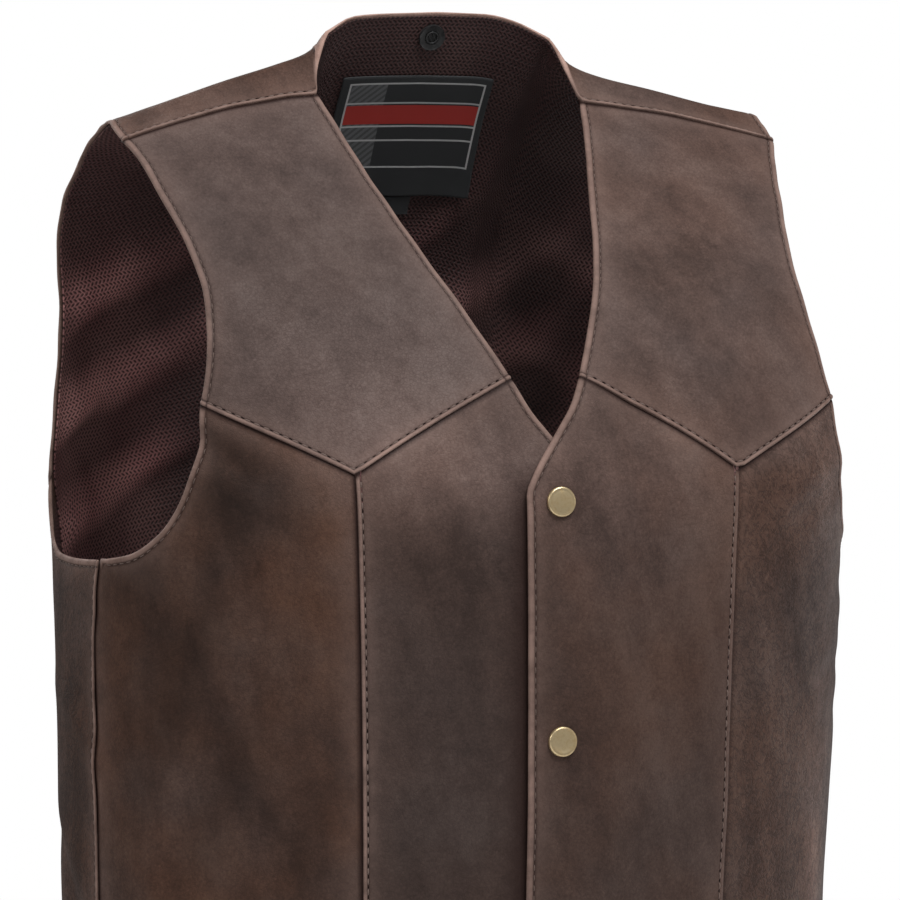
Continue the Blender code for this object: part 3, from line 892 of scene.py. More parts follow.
@dataclass
class Shell:
    """A closed thin wall between two grids of points, with its masks for the finish."""

    name: str
    outer: Array
    inner: Array
    wear: Array
    dark: Array
    tone: Array
    hide: Hide = Hide(0.0)
    facing: Array | None = None

    def build(self, materials: Sequence[Material]) -> Item:
        """Makes the wall's mesh.

        Args:
            materials: the outer face's material, and the inner face's if that is another.

        Returns:
            The new object.
        """
        rows, cols = self.outer.shape[:2]
        count = rows * cols
        index = np.arange(count).reshape(rows, cols)
        border = np.concatenate([index[0, :-1], index[:-1, -1], index[-1, :0:-1], index[:0:-1, 0]])
        outer, inner = self.outer.reshape(-1, 3), self.inner.reshape(-1, 3)
        away = self.away_from_middle().reshape(-1, 3)
        rim = (outer[border] + inner[border]) / 2 + away[border] * RIM_BULGE
        points = np.concatenate([outer, inner, rim])
        corners = (index[:-1, :-1], index[:-1, 1:], index[1:, 1:], index[1:, :-1])
        cells = np.stack([corner.ravel() for corner in corners], axis=1)
        here, there = border, np.roll(border, -1)
        middle = 2 * count + np.arange(len(border))
        after = np.roll(middle, -1)
        rims = np.concatenate([
            np.stack([here, there, after, middle], axis=1),
            np.stack([middle, after, there + count, here + count], axis=1),
        ])
        faces = np.concatenate([cells[:, [0, 3, 2, 1]], cells + count, rims])
        if self.volume(points, faces) < 0:
            faces = faces[:, ::-1]
        mesh = new_mesh(self.name, points, faces.tolist(), materials)
        if self.facing is not None:
            slots = np.zeros(len(faces), dtype=np.int32)
            slots[len(cells):2 * len(cells)] = self.facing.reshape(-1)[cells].mean(axis=1) < 0.5
            mesh.polygons.foreach_set("material_index", slots)
        self.add_masks(mesh, border)
        self.add_uv(mesh, border)
        mesh.update()
        return linked(self.name, mesh)

    def away_from_middle(self) -> Array:
        """Returns, for each border point, the direction that leads off the panel."""
        away = np.zeros(self.outer.shape)
        away[0] += unit(self.outer[0] - self.outer[2])
        away[-1] += unit(self.outer[-1] - self.outer[-3])
        away[:, 0] += unit(self.outer[:, 0] - self.outer[:, 2])
        away[:, -1] += unit(self.outer[:, -1] - self.outer[:, -3])
        return unit(away)

    @staticmethod
    def volume(points: Array, faces: Array) -> float:
        """Returns the signed volume inside four-sided faces."""
        p = points[faces]
        first = np.einsum("ij,ij->", p[:, 0], np.cross(p[:, 1], p[:, 2]))
        second = np.einsum("ij,ij->", p[:, 0], np.cross(p[:, 2], p[:, 3]))
        return float(first + second)

    def add_masks(self, mesh: bpy.types.Mesh, border: Array) -> None:
        """Stores the wear, the shadow and the panel's place in the hide on the points."""
        masks = (("wear", self.wear, 1.0), ("dark", self.dark, 0.0), ("tone", self.tone, 1.0))
        for name, grid, inside in masks:
            flat = grid.reshape(-1)
            values = np.concatenate([flat, flat * inside, flat[border]])
            layer = mesh.attributes.new(name, "FLOAT", "POINT")
            layer.data.foreach_set("value", values.astype(np.float32))
        for name in ("place", "warmth", "crackle"):
            layer = mesh.attributes.new("hide_" + name, "FLOAT", "POINT")
            value = getattr(self.hide, name)
            layer.data.foreach_set("value", np.full(len(mesh.vertices), value, np.float32))

    def add_uv(self, mesh: bpy.types.Mesh, border: Array) -> None:
        """Adds a UV map in metres along the cloth, from its middle column and top row."""
        across, down = lengths(self.outer, 1), lengths(self.outer)
        across -= across[:, [across.shape[1] // 2]]
        flat = np.stack([across.reshape(-1), down.reshape(-1)], axis=-1)
        flat = np.concatenate([flat, flat, flat[border]])
        loops = np.zeros(len(mesh.loops), dtype=np.int32)
        mesh.loops.foreach_get("vertex_index", loops)
        layer = mesh.uv_layers.new(name="cloth")
        layer.data.foreach_set("uv", flat[loops].astype(np.float32).reshape(-1))


class Nodes:
    """Adds nodes to a shader tree and joins them."""

    def __init__(self, tree: Tree) -> None:
        """Starts on a tree."""
        self.tree = tree

    def add(self, kind: str, values: dict | None = None, **settings: object) -> Node:
        """Adds a node.

        Args:
            kind: the node's type, without the word ShaderNode.
            values: its inputs, each a value or a socket that feeds it.
            **settings: its own properties.

        Returns:
            The node.
        """
        node = self.tree.nodes.new("ShaderNode" + kind)
        for name, value in settings.items():
            setattr(node, name, value)
        self.feed(node, values or {})
        return node

    def feed(self, node: Node, values: dict) -> None:
        """Sets a node's inputs, or joins them to the sockets that feed them."""
        for name, value in values.items():
            if isinstance(value, Socket):
                self.tree.links.new(value, node.inputs[name])
            else:
                node.inputs[name].default_value = value

    def attribute(self, name: str) -> Socket:
        """Reads a mask that is stored on the points."""
        return self.add("Attribute", attribute_name=name).outputs["Fac"]

    def noise(self, place: object, scale: float, detail: float = 2.0, **values: float) -> Socket:
        """Adds a noise from 0 to 1."""
        more = {name.capitalize(): value for name, value in values.items()}
        node = self.add("TexNoise", {"Vector": place, "Scale": scale, "Detail": detail, **more})
        return node.outputs["Fac"]

    def turned(self, place: object, rotation: tuple, scale: tuple) -> Socket:
        """Turns and stretches a place, for a pattern that runs one way."""
        values = {"Vector": place, "Rotation": rotation, "Scale": scale}
        return self.add("Mapping", values, vector_type="TEXTURE").outputs[0]

    def swayed(self, place: object, by: object, share: float) -> Socket:
        """Moves a place a little by a colour of noise."""
        values = {"Fac": share, "Color1": place, "Color2": by}
        return self.add("MixRGB", values, blend_type="ADD").outputs[0]

    def bump(self, height: object, strength: float, distance: float) -> Socket:
        """Turns a height into a normal."""
        node = self.add("Bump", {"Strength": strength, "Distance": distance, "Height": height})
        return node.outputs[0]

    def math(self, operation: str, first: object, second: object = 0.0,
             clamp: bool = False) -> Socket:
        """Adds a sum on two values and returns its result."""
        node = self.add("Math", {0: first, 1: second}, operation=operation, use_clamp=clamp)
        return node.outputs[0]

    def times(self, first: object, second: object, clamp: bool = False) -> Socket:
        """Multiplies two values."""
        return self.math("MULTIPLY", first, second, clamp)

    def mix(self, share: object, first: object, second: object, blend: str = "MIX") -> Socket:
        """Mixes two colours and returns the result."""
        node = self.add("Mix", {0: share, 6: first, 7: second}, data_type="RGBA", blend_type=blend)
        return node.outputs[2]

    def shaded(self, colour: object, shade: object) -> Socket:
        """Multiplies a colour by another or by a value."""
        return self.mix(1.0, colour, shade, "MULTIPLY")

    def strip(self, value: object, middle: float, half: float) -> Socket:
        """Returns 1 within half a width of a middle, else 0."""
        return self.math("LESS_THAN", self.math("ABSOLUTE", self.math("SUBTRACT", value, middle)), half)

    def spread(self, value: object, low: float, high: float, to_low: float = 0.0,
               to_high: float = 1.0) -> Socket:
        """Maps a range of values to another, clamped."""
        node = self.add("MapRange", {0: value, 1: low, 2: high, 3: to_low, 4: to_high})
        return node.outputs[0]


BLACK, WHITE = (0.0, 0.0, 0.0, 1.0), (1.0, 1.0, 1.0, 1.0)


def new_group(
    name: str, inputs: dict[str, object], outputs: dict[str, str],
) -> tuple[Tree, Nodes, Node, Node]:
    """Starts a shader node group with named sockets.

    Args:
        name: the group's name.
        inputs: the default of each input: nothing for a place, a colour, or a number.
        outputs: the kind of each output.

    Returns:
        The group, its builder, and its input and output nodes.
    """
    group = bpy.data.node_groups.new(name, "ShaderNodeTree")
    for label, value in inputs.items():
        kind = "Vector" if value is None else "Color" if isinstance(value, tuple) else "Float"
        socket = group.interface.new_socket(label, in_out="INPUT", socket_type="NodeSocket" + kind)
        if value is not None:
            socket.default_value = value
    for label, kind in outputs.items():
        group.interface.new_socket(label, in_out="OUTPUT", socket_type="NodeSocket" + kind)
    return group, Nodes(group), group.nodes.new("NodeGroupInput"), group.nodes.new("NodeGroupOutput")


def cloud_group() -> Tree:
    """Makes the uneven clouding of a dyed and rubbed surface: a colour from four tones."""
    group, build, start, end = new_group(
        "clouding",
        {"Place": None, "Hide": 0.0, "Warmth": 0.5,
         "Deep": BLACK, "Middle": BLACK, "Pale": WHITE, "Warm": WHITE},
        {"Color": "Color", "Rub": "Float"},
    )
    place, hide, warmth = (start.outputs[name] for name in ("Place", "Hide", "Warmth"))
    drawn = build.turned(place, (0.10, -0.34, 0.0), (1.0, 1.0, 4.5))

    def layer(vector: object, scale: float, detail: float, share: float,
              shift: float) -> Socket:
        """Returns a noise about 0 that differs from hide to hide, times its share."""
        node = build.add("TexNoise", {"Vector": vector, "W": build.math("ADD", hide, shift), "Scale": scale,
                                      "Detail": detail, "Roughness": 0.58}, noise_dimensions="4D")
        return build.times(build.math("SUBTRACT", node.outputs["Fac"], 0.5), share)

    streaks = build.spread(warmth, 0.0, 1.0, 0.15, 1.35)
    tone = layer(place, 8.0, 2.0, 0.75, 0.0)
    for more in (layer(place, 24.0, 3.0, 0.50, 3.1), layer(drawn, 30.0, 3.0, streaks, 4.3),
                 layer(drawn, 70.0, 3.0, 0.45, 5.9), layer(place, 120.0, 4.0, 0.45, 7.7),
                 layer(place, 620.0, 3.0, 0.60, 9.1)):
        tone = build.math("ADD", tone, more)
    colour = build.mix(build.spread(tone, -0.30, 0.0), start.outputs["Deep"], start.outputs["Middle"])
    colour = build.mix(build.spread(tone, 0.0, 0.30), colour, start.outputs["Pale"])
    blush = build.add("TexNoise", {"Vector": place, "W": hide, "Scale": 15.0, "Detail": 3.0},
                      noise_dimensions="4D")
    share = build.times(build.spread(blush.outputs["Fac"], 0.38, 0.62, 0.40, 1.0), warmth, clamp=True)
    colour = build.mix(share, colour, build.shaded(colour, start.outputs["Warm"]))
    build.feed(end, {"Color": colour, "Rub": tone})
    return group


def grain_group() -> Tree:
    """Makes a leather's grain: pebbles, scratches and a crackle, as a height and a shade."""
    group, build, start, end = new_group(
        "leather grain",
        {"Place": None, "Pebble": 900.0, "Crackle": 0.2},
        {"Height": "Float", "Speck": "Float"},
    )
    place, crackle = start.outputs["Place"], start.outputs["Crackle"]
    bend = build.add("TexNoise", {"Vector": place, "Scale": 260.0, "Detail": 2.0}).outputs["Color"]
    cells = build.add("TexVoronoi", {"Vector": build.swayed(place, bend, 0.0012),
                                     "Scale": start.outputs["Pebble"]}, feature="DISTANCE_TO_EDGE")
    pores = build.spread(cells.outputs["Distance"], 0.0, 0.16)
    crumple = build.noise(place, 230.0, 5.0, roughness=0.65)
    level = build.turned(place, (0.0, -0.60, 0.0), (1.0, 1.0, 1.5))
    crack = build.noise(level, 250.0, 3.0, roughness=0.65, distortion=0.4)
    ridge = build.math("ABSOLUTE", build.math("SUBTRACT", crack, 0.5))
    lines = build.times(build.spread(ridge, 0.0, 0.060, 1.0, 0.0), crackle)
    scrape = build.turned(place, (0.3, 0.6, 0.5), (1.0, 1.0, 9.0))
    scratch = build.noise(scrape, 520.0, 3.0, distortion=0.8)
    scratches = build.spread(scratch, 0.60, 0.72)
    height = build.math("ADD", build.times(pores, 0.35), crumple)
    height = build.math("SUBTRACT", height, build.times(scratches, 0.35))
    height = build.math("SUBTRACT", height, build.times(lines, 0.9))
    speck = build.times(build.spread(pores, 0.0, 1.0, 0.88, 1.02), build.spread(lines, 0.0, 1.0, 1.0, 0.50))
    scraped = build.times(scratches, build.spread(crackle, 0.0, 1.0, 0.08, 0.40))
    build.feed(end, {"Height": height, "Speck": build.math("ADD", speck, scraped)})
    return group


def wear_and_seam_shade_group() -> Tree:
    """Lays rubbed edges and painted seam shadows over a colour, broken up by noise."""
    group, build, start, end = new_group(
        "edge wear and shade",
        {"Color": BLACK, "Place": None, "Wear": 0.0, "Dark": 0.0, "Worn": WHITE, "Shadow": BLACK},
        {"Color": "Color"},
    )
    noise = build.noise(start.outputs["Place"], 95.0, 4.0, roughness=0.6)
    worn = build.times(start.outputs["Wear"], build.spread(noise, 0.30, 0.62, 0.45, 1.0), clamp=True)
    colour = build.mix(worn, start.outputs["Color"], start.outputs["Worn"])
    # the dark mask lays the painted shadow colour along the seams and stitch grooves
    build.feed(end, {"Color": build.mix(start.outputs["Dark"], colour, start.outputs["Shadow"])})
    return group


def knit_group() -> Tree:
    """Makes a knitted mesh: rows of holes that lean by turns, from a UV map in metres."""
    group, build, start, end = new_group(
        "knitted mesh",
        {"Place": None, "Across": 0.0026, "Down": 0.0021},
        {"Height": "Float", "Hole": "Float"},
    )
    split = build.add("SeparateXYZ", {0: start.outputs["Place"]})
    u = build.math("DIVIDE", split.outputs[0], start.outputs["Across"])
    v = build.math("DIVIDE", split.outputs[1], start.outputs["Down"])
    odd = build.math("MODULO", build.math("ABSOLUTE", build.math("FLOOR", v)), 2.0)
    u = build.math("ADD", u, build.times(odd, 0.5))
    cell_v = build.math("SUBTRACT", build.math("FRACT", v), 0.5)
    lean = build.times(cell_v, build.spread(odd, 0.0, 1.0, -0.55, 0.55))
    cell_u = build.math("SUBTRACT", build.math("SUBTRACT", build.math("FRACT", u), 0.5), lean)
    cell_u, cell_v = build.times(cell_u, 1.25), build.times(cell_v, 0.80)
    square = build.math("ADD", build.times(cell_u, cell_u), build.times(cell_v, cell_v))
    radius = build.math("SQRT", square)
    build.feed(end, {"Height": build.spread(radius, 0.08, 0.55),
                     "Hole": build.spread(radius, 0.08, 0.38, 1.0, 0.0)})
    return group


def new_material(name: str) -> tuple[Material, Nodes, Node]:
    """Starts a material, and returns it with its builder and its Principled shader."""
    material = bpy.data.materials.new(name)
    material.use_nodes = True
    return material, Nodes(material.node_tree), material.node_tree.nodes["Principled BSDF"]


def rgb(red: float, green: float, blue: float) -> tuple[float, float, float, float]:
    """Returns a linear colour with full alpha."""
    return (red, green, blue, 1.0)


@dataclass(frozen=True)
class LeatherFinish:
    """Matt distressed leather, clouded, with rubbed edges, painted highlights on seam ridges and at the neck,
    painted shadows along the seams, and painted light and shade from the tone mask.
    """

    deep: tuple = rgb(0.054, 0.037, 0.033)
    middle: tuple = rgb(0.094, 0.065, 0.058)
    pale: tuple = rgb(0.138, 0.101, 0.091)
    warm: tuple = rgb(1.18, 0.80, 0.57)
    # the worn colour paints real rubbed edges and also the painted highlight on lapped seam ridges and at the
    # neck rim
    worn: tuple = rgb(0.275, 0.180, 0.150)
    shadow: tuple = rgb(0.022, 0.009, 0.007)
    pebble: float = 600.0

    def material(self, groups: dict[str, Tree]) -> Material:
        """Makes the material from the shared node groups."""
        material, build, shader = new_material("leather")
        place = build.add("TexCoord").outputs["Object"]
        tone = build.attribute("tone")
        clouds = build.add("Group", {
            "Place": place, "Hide": build.attribute("hide_place"), "Warmth": build.attribute("hide_warmth"),
            "Deep": self.deep, "Middle": self.middle, "Pale": self.pale, "Warm": self.warm,
        }, node_tree=groups["clouding"])
        grain = build.add("Group", {
            "Place": place, "Pebble": self.pebble, "Crackle": build.attribute("hide_crackle"),
        }, node_tree=groups["leather grain"])
        # the tone mask multiplies in each hide's shade together with the panels' painted light and shade
        colour = build.shaded(clouds.outputs["Color"], build.times(grain.outputs["Speck"], tone))
        edged = build.add("Group", {
            "Color": colour, "Place": place, "Shadow": self.shadow,
            "Wear": build.attribute("wear"), "Dark": build.attribute("dark"),
            # painted highlight: where the tone's painted light is strong, as at the neck rim and the painted
            # sheens, the worn colour is lifted too
            "Worn": build.shaded(self.worn, build.spread(tone, 1.3, 2.5, 1.0, 2.4)),
        }, node_tree=groups["edge wear and shade"])
        build.feed(shader, {
            "Base Color": edged.outputs["Color"],
            "Roughness": build.spread(clouds.outputs["Rub"], -0.3, 0.3, 0.68, 0.52),
            "Normal": build.bump(grain.outputs["Height"], 0.42, 0.0006),
            "Specular IOR Level": 0.17,
        })
        return material


@dataclass(frozen=True)
class MeshFinish:
    """Dark knitted mesh lining with small staggered holes, painted highlights on its threads and painted
    shade in its holes.
    """

    thread: tuple = rgb(0.082, 0.035, 0.034)
    faded: tuple = rgb(0.125, 0.062, 0.058)
    hole: tuple = rgb(0.005, 0.002, 0.002)

    def material(self, groups: dict[str, Tree]) -> Material:
        """Makes the material from the shared node groups."""
        material, build, shader = new_material("mesh_lining")
        place = build.add("TexCoord").outputs["Object"]
        flat = build.add("UVMap", uv_map="cloth").outputs[0]
        sway = build.add("TexNoise", {"Vector": place, "Scale": 60.0, "Detail": 2.0}).outputs["Color"]
        knit = build.add("Group", {"Place": build.swayed(flat, sway, 0.0014)},
                         node_tree=groups["knitted mesh"])
        faded = build.spread(build.noise(place, 22.0, 4.0), 0.42, 0.66)
        # the tone mask brings each piece's painted light and shade
        colour = build.shaded(build.mix(faded, self.thread, self.faded), build.attribute("tone"))
        # painted highlight: the raised threads of the knit are painted paler, the hollows darker
        colour = build.shaded(colour, build.spread(knit.outputs["Height"], 0.3, 1.0, 0.70, 1.50))
        # painted shade: the holes are painted near black for the dark behind them
        colour = build.mix(build.times(knit.outputs["Hole"], 0.85), colour, self.hole)
        fuzz = build.times(build.noise(place, 1900.0), 0.25)
        height = build.math("ADD", knit.outputs["Height"], fuzz)
        build.feed(shader, {"Base Color": colour, "Normal": build.bump(height, 0.8, 0.0007),
                            "Roughness": 0.58, "Specular IOR Level": 0.30})
        return material


@dataclass(frozen=True)
class LabelFinish:
    """Woven black label: pale border lines and a dull red band, with no words."""

    ground: tuple = rgb(0.028, 0.030, 0.032)
    line: tuple = rgb(0.520, 0.520, 0.520)
    grey: tuple = rgb(0.180, 0.185, 0.190)
    band: tuple = rgb(0.460, 0.034, 0.026)
    width: float = 2 * LABEL_HALF_WIDTH
    length: float = 0.060
    rib: float = 0.00045
    warp: float = 0.00060
    margin: float = 0.0040
    line_width: float = 0.0010
    hatch_pitch: float = 0.0042
    hatch_share: float = 0.55
    band_half: float = 0.0058
    band_to_line: float = 0.0072

    def drawn(self, build: Nodes, u: object, v: object) -> Socket:
        """Draws the woven pattern.

        Args:
            build: the material's builder.
            u: the place across, from the middle.
            v: the place down, from the top.

        Returns:
            The colour: a hatched strip, a band, three thin lines and a line round them.
        """
        half_width, half_length, inner = self.width / 2, self.length / 2, self.margin + self.line_width
        inside = build.times(build.strip(v, half_length, half_length - self.margin),
                             build.strip(u, 0.0, half_width - self.margin))
        core = build.strip(u, 0.0, half_width - inner)
        hollow = build.times(core, build.strip(v, half_length, half_length - inner))
        slant = build.math("FRACT", build.math("DIVIDE", build.math("ADD", u, v), self.hatch_pitch))
        bars = build.spread(build.math("LESS_THAN", slant, self.hatch_share), 0.0, 1.0, 0.35, 0.75)
        hatched = build.times(build.strip(u, self.width * -0.32, self.width * 0.12), inside)
        colour = build.mix(build.times(hatched, bars), self.ground, self.grey)
        band = self.length * 0.40
        colour = build.mix(build.times(build.strip(v, band, self.band_half), core), colour, self.band)
        for middle in (band - self.band_to_line, band + self.band_to_line, self.length * 0.66):
            thin = build.times(build.strip(v, middle, self.line_width / 2), core)
            colour = build.mix(thin, colour, self.line)
        return build.mix(build.math("SUBTRACT", inside, hollow), colour, self.line)

    def material(self, name: str, plain: bool) -> Material:
        """Makes the material, with its lines or plain."""
        material, build, shader = new_material(name)
        split = build.add("SeparateXYZ", {0: build.add("UVMap", uv_map="cloth").outputs[0]})
        u, v = split.outputs[0], split.outputs[1]
        weave = build.times(*(build.math("SINE", build.times(place, 2 * math.pi / pitch))
                              for place, pitch in ((v, self.rib), (u, self.warp))))
        colour = self.ground if plain else self.drawn(build, u, v)
        # painted light and shade: the weave that bumps the cloth also pales and darkens its colour on the
        # ribs
        build.feed(shader, {"Base Color": build.shaded(colour, build.spread(weave, -1.0, 1.0, 0.65, 1.25)),
                            "Normal": build.bump(weave, 0.5, 0.0001),
                            "Roughness": 0.55, "Specular IOR Level": 0.4})
        return material


@dataclass(frozen=True)
class MetalFinish:
    """A metal or painted fitting, with tarnish or scuffs from noise."""

    name: str
    colour: tuple
    tarnish: tuple
    roughness: float
    metallic: float

    def material(self) -> Material:
        """Makes the material."""
        material, build, shader = new_material(self.name)
        place = build.add("TexCoord").outputs["Object"]
        cloud = build.noise(place, 420.0, 5.0, roughness=0.6)
        low, high = self.roughness * 0.85, self.roughness * 1.25
        colour = build.mix(build.spread(cloud, 0.42, 0.70), self.colour, self.tarnish)
        build.feed(shader, {"Base Color": colour,
                            "Roughness": build.spread(cloud, 0.3, 0.7, low, high),
                            "Normal": build.bump(build.noise(place, 2600.0, 3.0), 0.12, 0.00008),
                            "Metallic": self.metallic})
        return material


@dataclass(frozen=True)
class ThreadFinish:
    """Twisted sewing thread, with a painted highlight along its twist."""

    colour: tuple = rgb(0.110, 0.070, 0.058)
    light: tuple = rgb(0.190, 0.130, 0.108)

    def material(self) -> Material:
        """Makes the material."""
        material, build, shader = new_material("thread")
        place = build.add("TexCoord").outputs["Object"]
        wave = {"Vector": place, "Scale": 700.0, "Distortion": 2.0, "Detail": 2.0}
        twist = build.add("TexWave", wave).outputs["Fac"]
        # painted highlight: the twist that bumps the thread also pales its colour
        build.feed(shader, {"Base Color": build.mix(twist, self.colour, self.light),
                            "Normal": build.bump(twist, 0.4, 0.0001), "Roughness": 0.6})
        return material


def hole_shade_material() -> Material:
    """Makes the painted shade inside a needle hole, a little uneven."""
    material, build, shader = new_material("needle_hole")
    noise = build.noise(build.add("TexCoord").outputs["Object"], 900.0)
    colour = build.mix(noise, rgb(0.006, 0.003, 0.003), rgb(0.020, 0.012, 0.010))
    build.feed(shader, {"Base Color": colour, "Roughness": 0.9, "Specular IOR Level": 0.1})
    return material


LOOKS_UP = 0.99
EDGE_SHADE, ROUND_SHADE, WIRE_SHADE = 40.0, 60.0, 80.0


class Workbench:
    """Models small pieces with Blender's own operators, as by hand."""

    @staticmethod
    def clear() -> None:
        """Deselects everything."""
        bpy.ops.object.select_all(action="DESELECT")

    @staticmethod
    def take(name: str) -> Item:
        """Names the piece that was just added and puts its place in its mesh."""
        item = bpy.context.active_object
        item.name = name
        item.data.name = name
        bpy.ops.object.transform_apply(location=True, rotation=True, scale=True)
        return item

    @staticmethod
    def disc(name: str, radius: float, height: float, corners: int) -> Item:
        """Adds a round disc that stands on the ground plane."""
        Workbench.clear()
        bpy.ops.mesh.primitive_cylinder_add(vertices=corners, radius=radius, depth=height,
                                            location=(0, 0, height / 2))
        return Workbench.take(name)

    @staticmethod
    def pick(item: Item, kind: str, test: Callable[[object], bool]) -> None:
        """Selects, in edit mode, the faces or the edges that pass a test."""
        bpy.ops.object.mode_set(mode="EDIT")
        bpy.ops.mesh.select_mode(type=kind)
        bpy.ops.mesh.select_all(action="DESELECT")
        bpy.ops.object.mode_set(mode="OBJECT")
        for part in item.data.polygons if kind == "FACE" else item.data.edges:
            part.select = test(part)
        bpy.ops.object.mode_set(mode="EDIT")

    @staticmethod
    def sink_top(item: Item, *steps: tuple[float, float]) -> None:
        """Insets the top face in steps, each a distance in and a rise."""
        Workbench.pick(item, "FACE", lambda face: face.normal.z > LOOKS_UP)
        for inset, rise in steps:
            bpy.ops.mesh.inset(thickness=inset)
            if rise:
                bpy.ops.transform.translate(value=(0, 0, rise))

    @staticmethod
    def round_top(item: Item, above: float, offset: float, segments: int) -> None:
        """Rounds the edges that lie above a height."""
        def high(edge: bpy.types.MeshEdge) -> bool:
            """Tells whether an edge's middle lies above the height."""
            return sum(item.data.vertices[end].co.z for end in edge.vertices) / 2 > above
        Workbench.pick(item, "EDGE", high)
        bpy.ops.mesh.bevel(offset=offset, segments=segments, affect="EDGES", profile=0.5)

    @staticmethod
    def done(item: Item, angle: float = EDGE_SHADE) -> Item:
        """Leaves edit mode and shades the piece smooth."""
        if item.mode == "EDIT":
            bpy.ops.object.mode_set(mode="OBJECT")
        Workbench.clear()
        item.select_set(True)
        bpy.context.view_layer.objects.active = item
        bpy.ops.object.shade_smooth_by_angle(angle=math.radians(angle))
        Workbench.clear()
        return item

    @staticmethod
    def join(name: str, items: Sequence[Item]) -> Item:
        """Joins pieces into the first one."""
        Workbench.clear()
        for item in items:
            item.select_set(True)
        bpy.context.view_layer.objects.active = items[0]
        bpy.ops.object.join()
        items[0].name = name
        items[0].data.name = name
        Workbench.clear()
        return items[0]


def seated(angle: float, drop: float, height: float, inwards: bool = False) -> Matrix:
    """Returns the place on the form where a fitting sits, its axis along +Z.

    Args:
        angle: degrees from the centre line.
        drop: signed drop.
        height: how far out from the bare form it sits.
        inwards: whether it faces the hollow.

    Returns:
        The matrix that takes a fitting there.
    """
    at, lap = np.array([angle]), lap_of(np.array([drop]))
    place = FORM.bare(at, lap)[0]
    out = FORM.outward(at, lap)[0]
    place = place + out * height
    axis = Vector(-out if inwards else out)
    turn = axis.to_track_quat("Z", "Y").to_matrix().to_4x4()
    return Matrix.Translation(Vector(place)) @ turn


def triangles(item: Item) -> int:
    """Counts a piece's triangles."""
    item.data.calc_loop_triangles()
    return len(item.data.loop_triangles)


def ride(item: Item, slot: str, *nodes: str) -> Item:
    """Fastens a piece to the vest's body, hides the solids that it stands for and logs its triangles."""
    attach(item, BODY)
    if nodes:
        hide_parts(*nodes)
    LOG.info("%s: %d triangles", item.name, triangles(item))
    return item


def fitted(model: Item, node: str, place: Matrix, slot: str, finish: Material) -> Item:
    """Args:
        model: the fitting as modelled.
        node: the solid that it stands for.
        place: where it sits.
        slot: the name of its finish; not used.
        finish: its material.

    Returns:
        The fitting in its place.
    """
    mesh = model.data.copy()
    mesh.transform(place)
    mesh.materials.clear()
    mesh.materials.append(finish)
    return ride(linked(node + "_dressed", mesh), slot, node)


@dataclass(frozen=True)
class StitchShape:
    """One stitch along +X with the painted shade of its needle hole, as points and faces, the thread's first.
    """

    points: Array
    faces: list
    thread_points: int
    thread_faces: int

    def sized(self, weight: float) -> "StitchShape":
        """Returns the stitch with another thread width, and a thin one without its hole."""
        count = self.thread_points if weight < 1.0 else len(self.points)
        faces = self.faces[:self.thread_faces] if weight < 1.0 else self.faces
        return StitchShape(self.points[:count] * np.array([1.0, weight, 1.0]), faces,
                           self.thread_points, self.thread_faces)


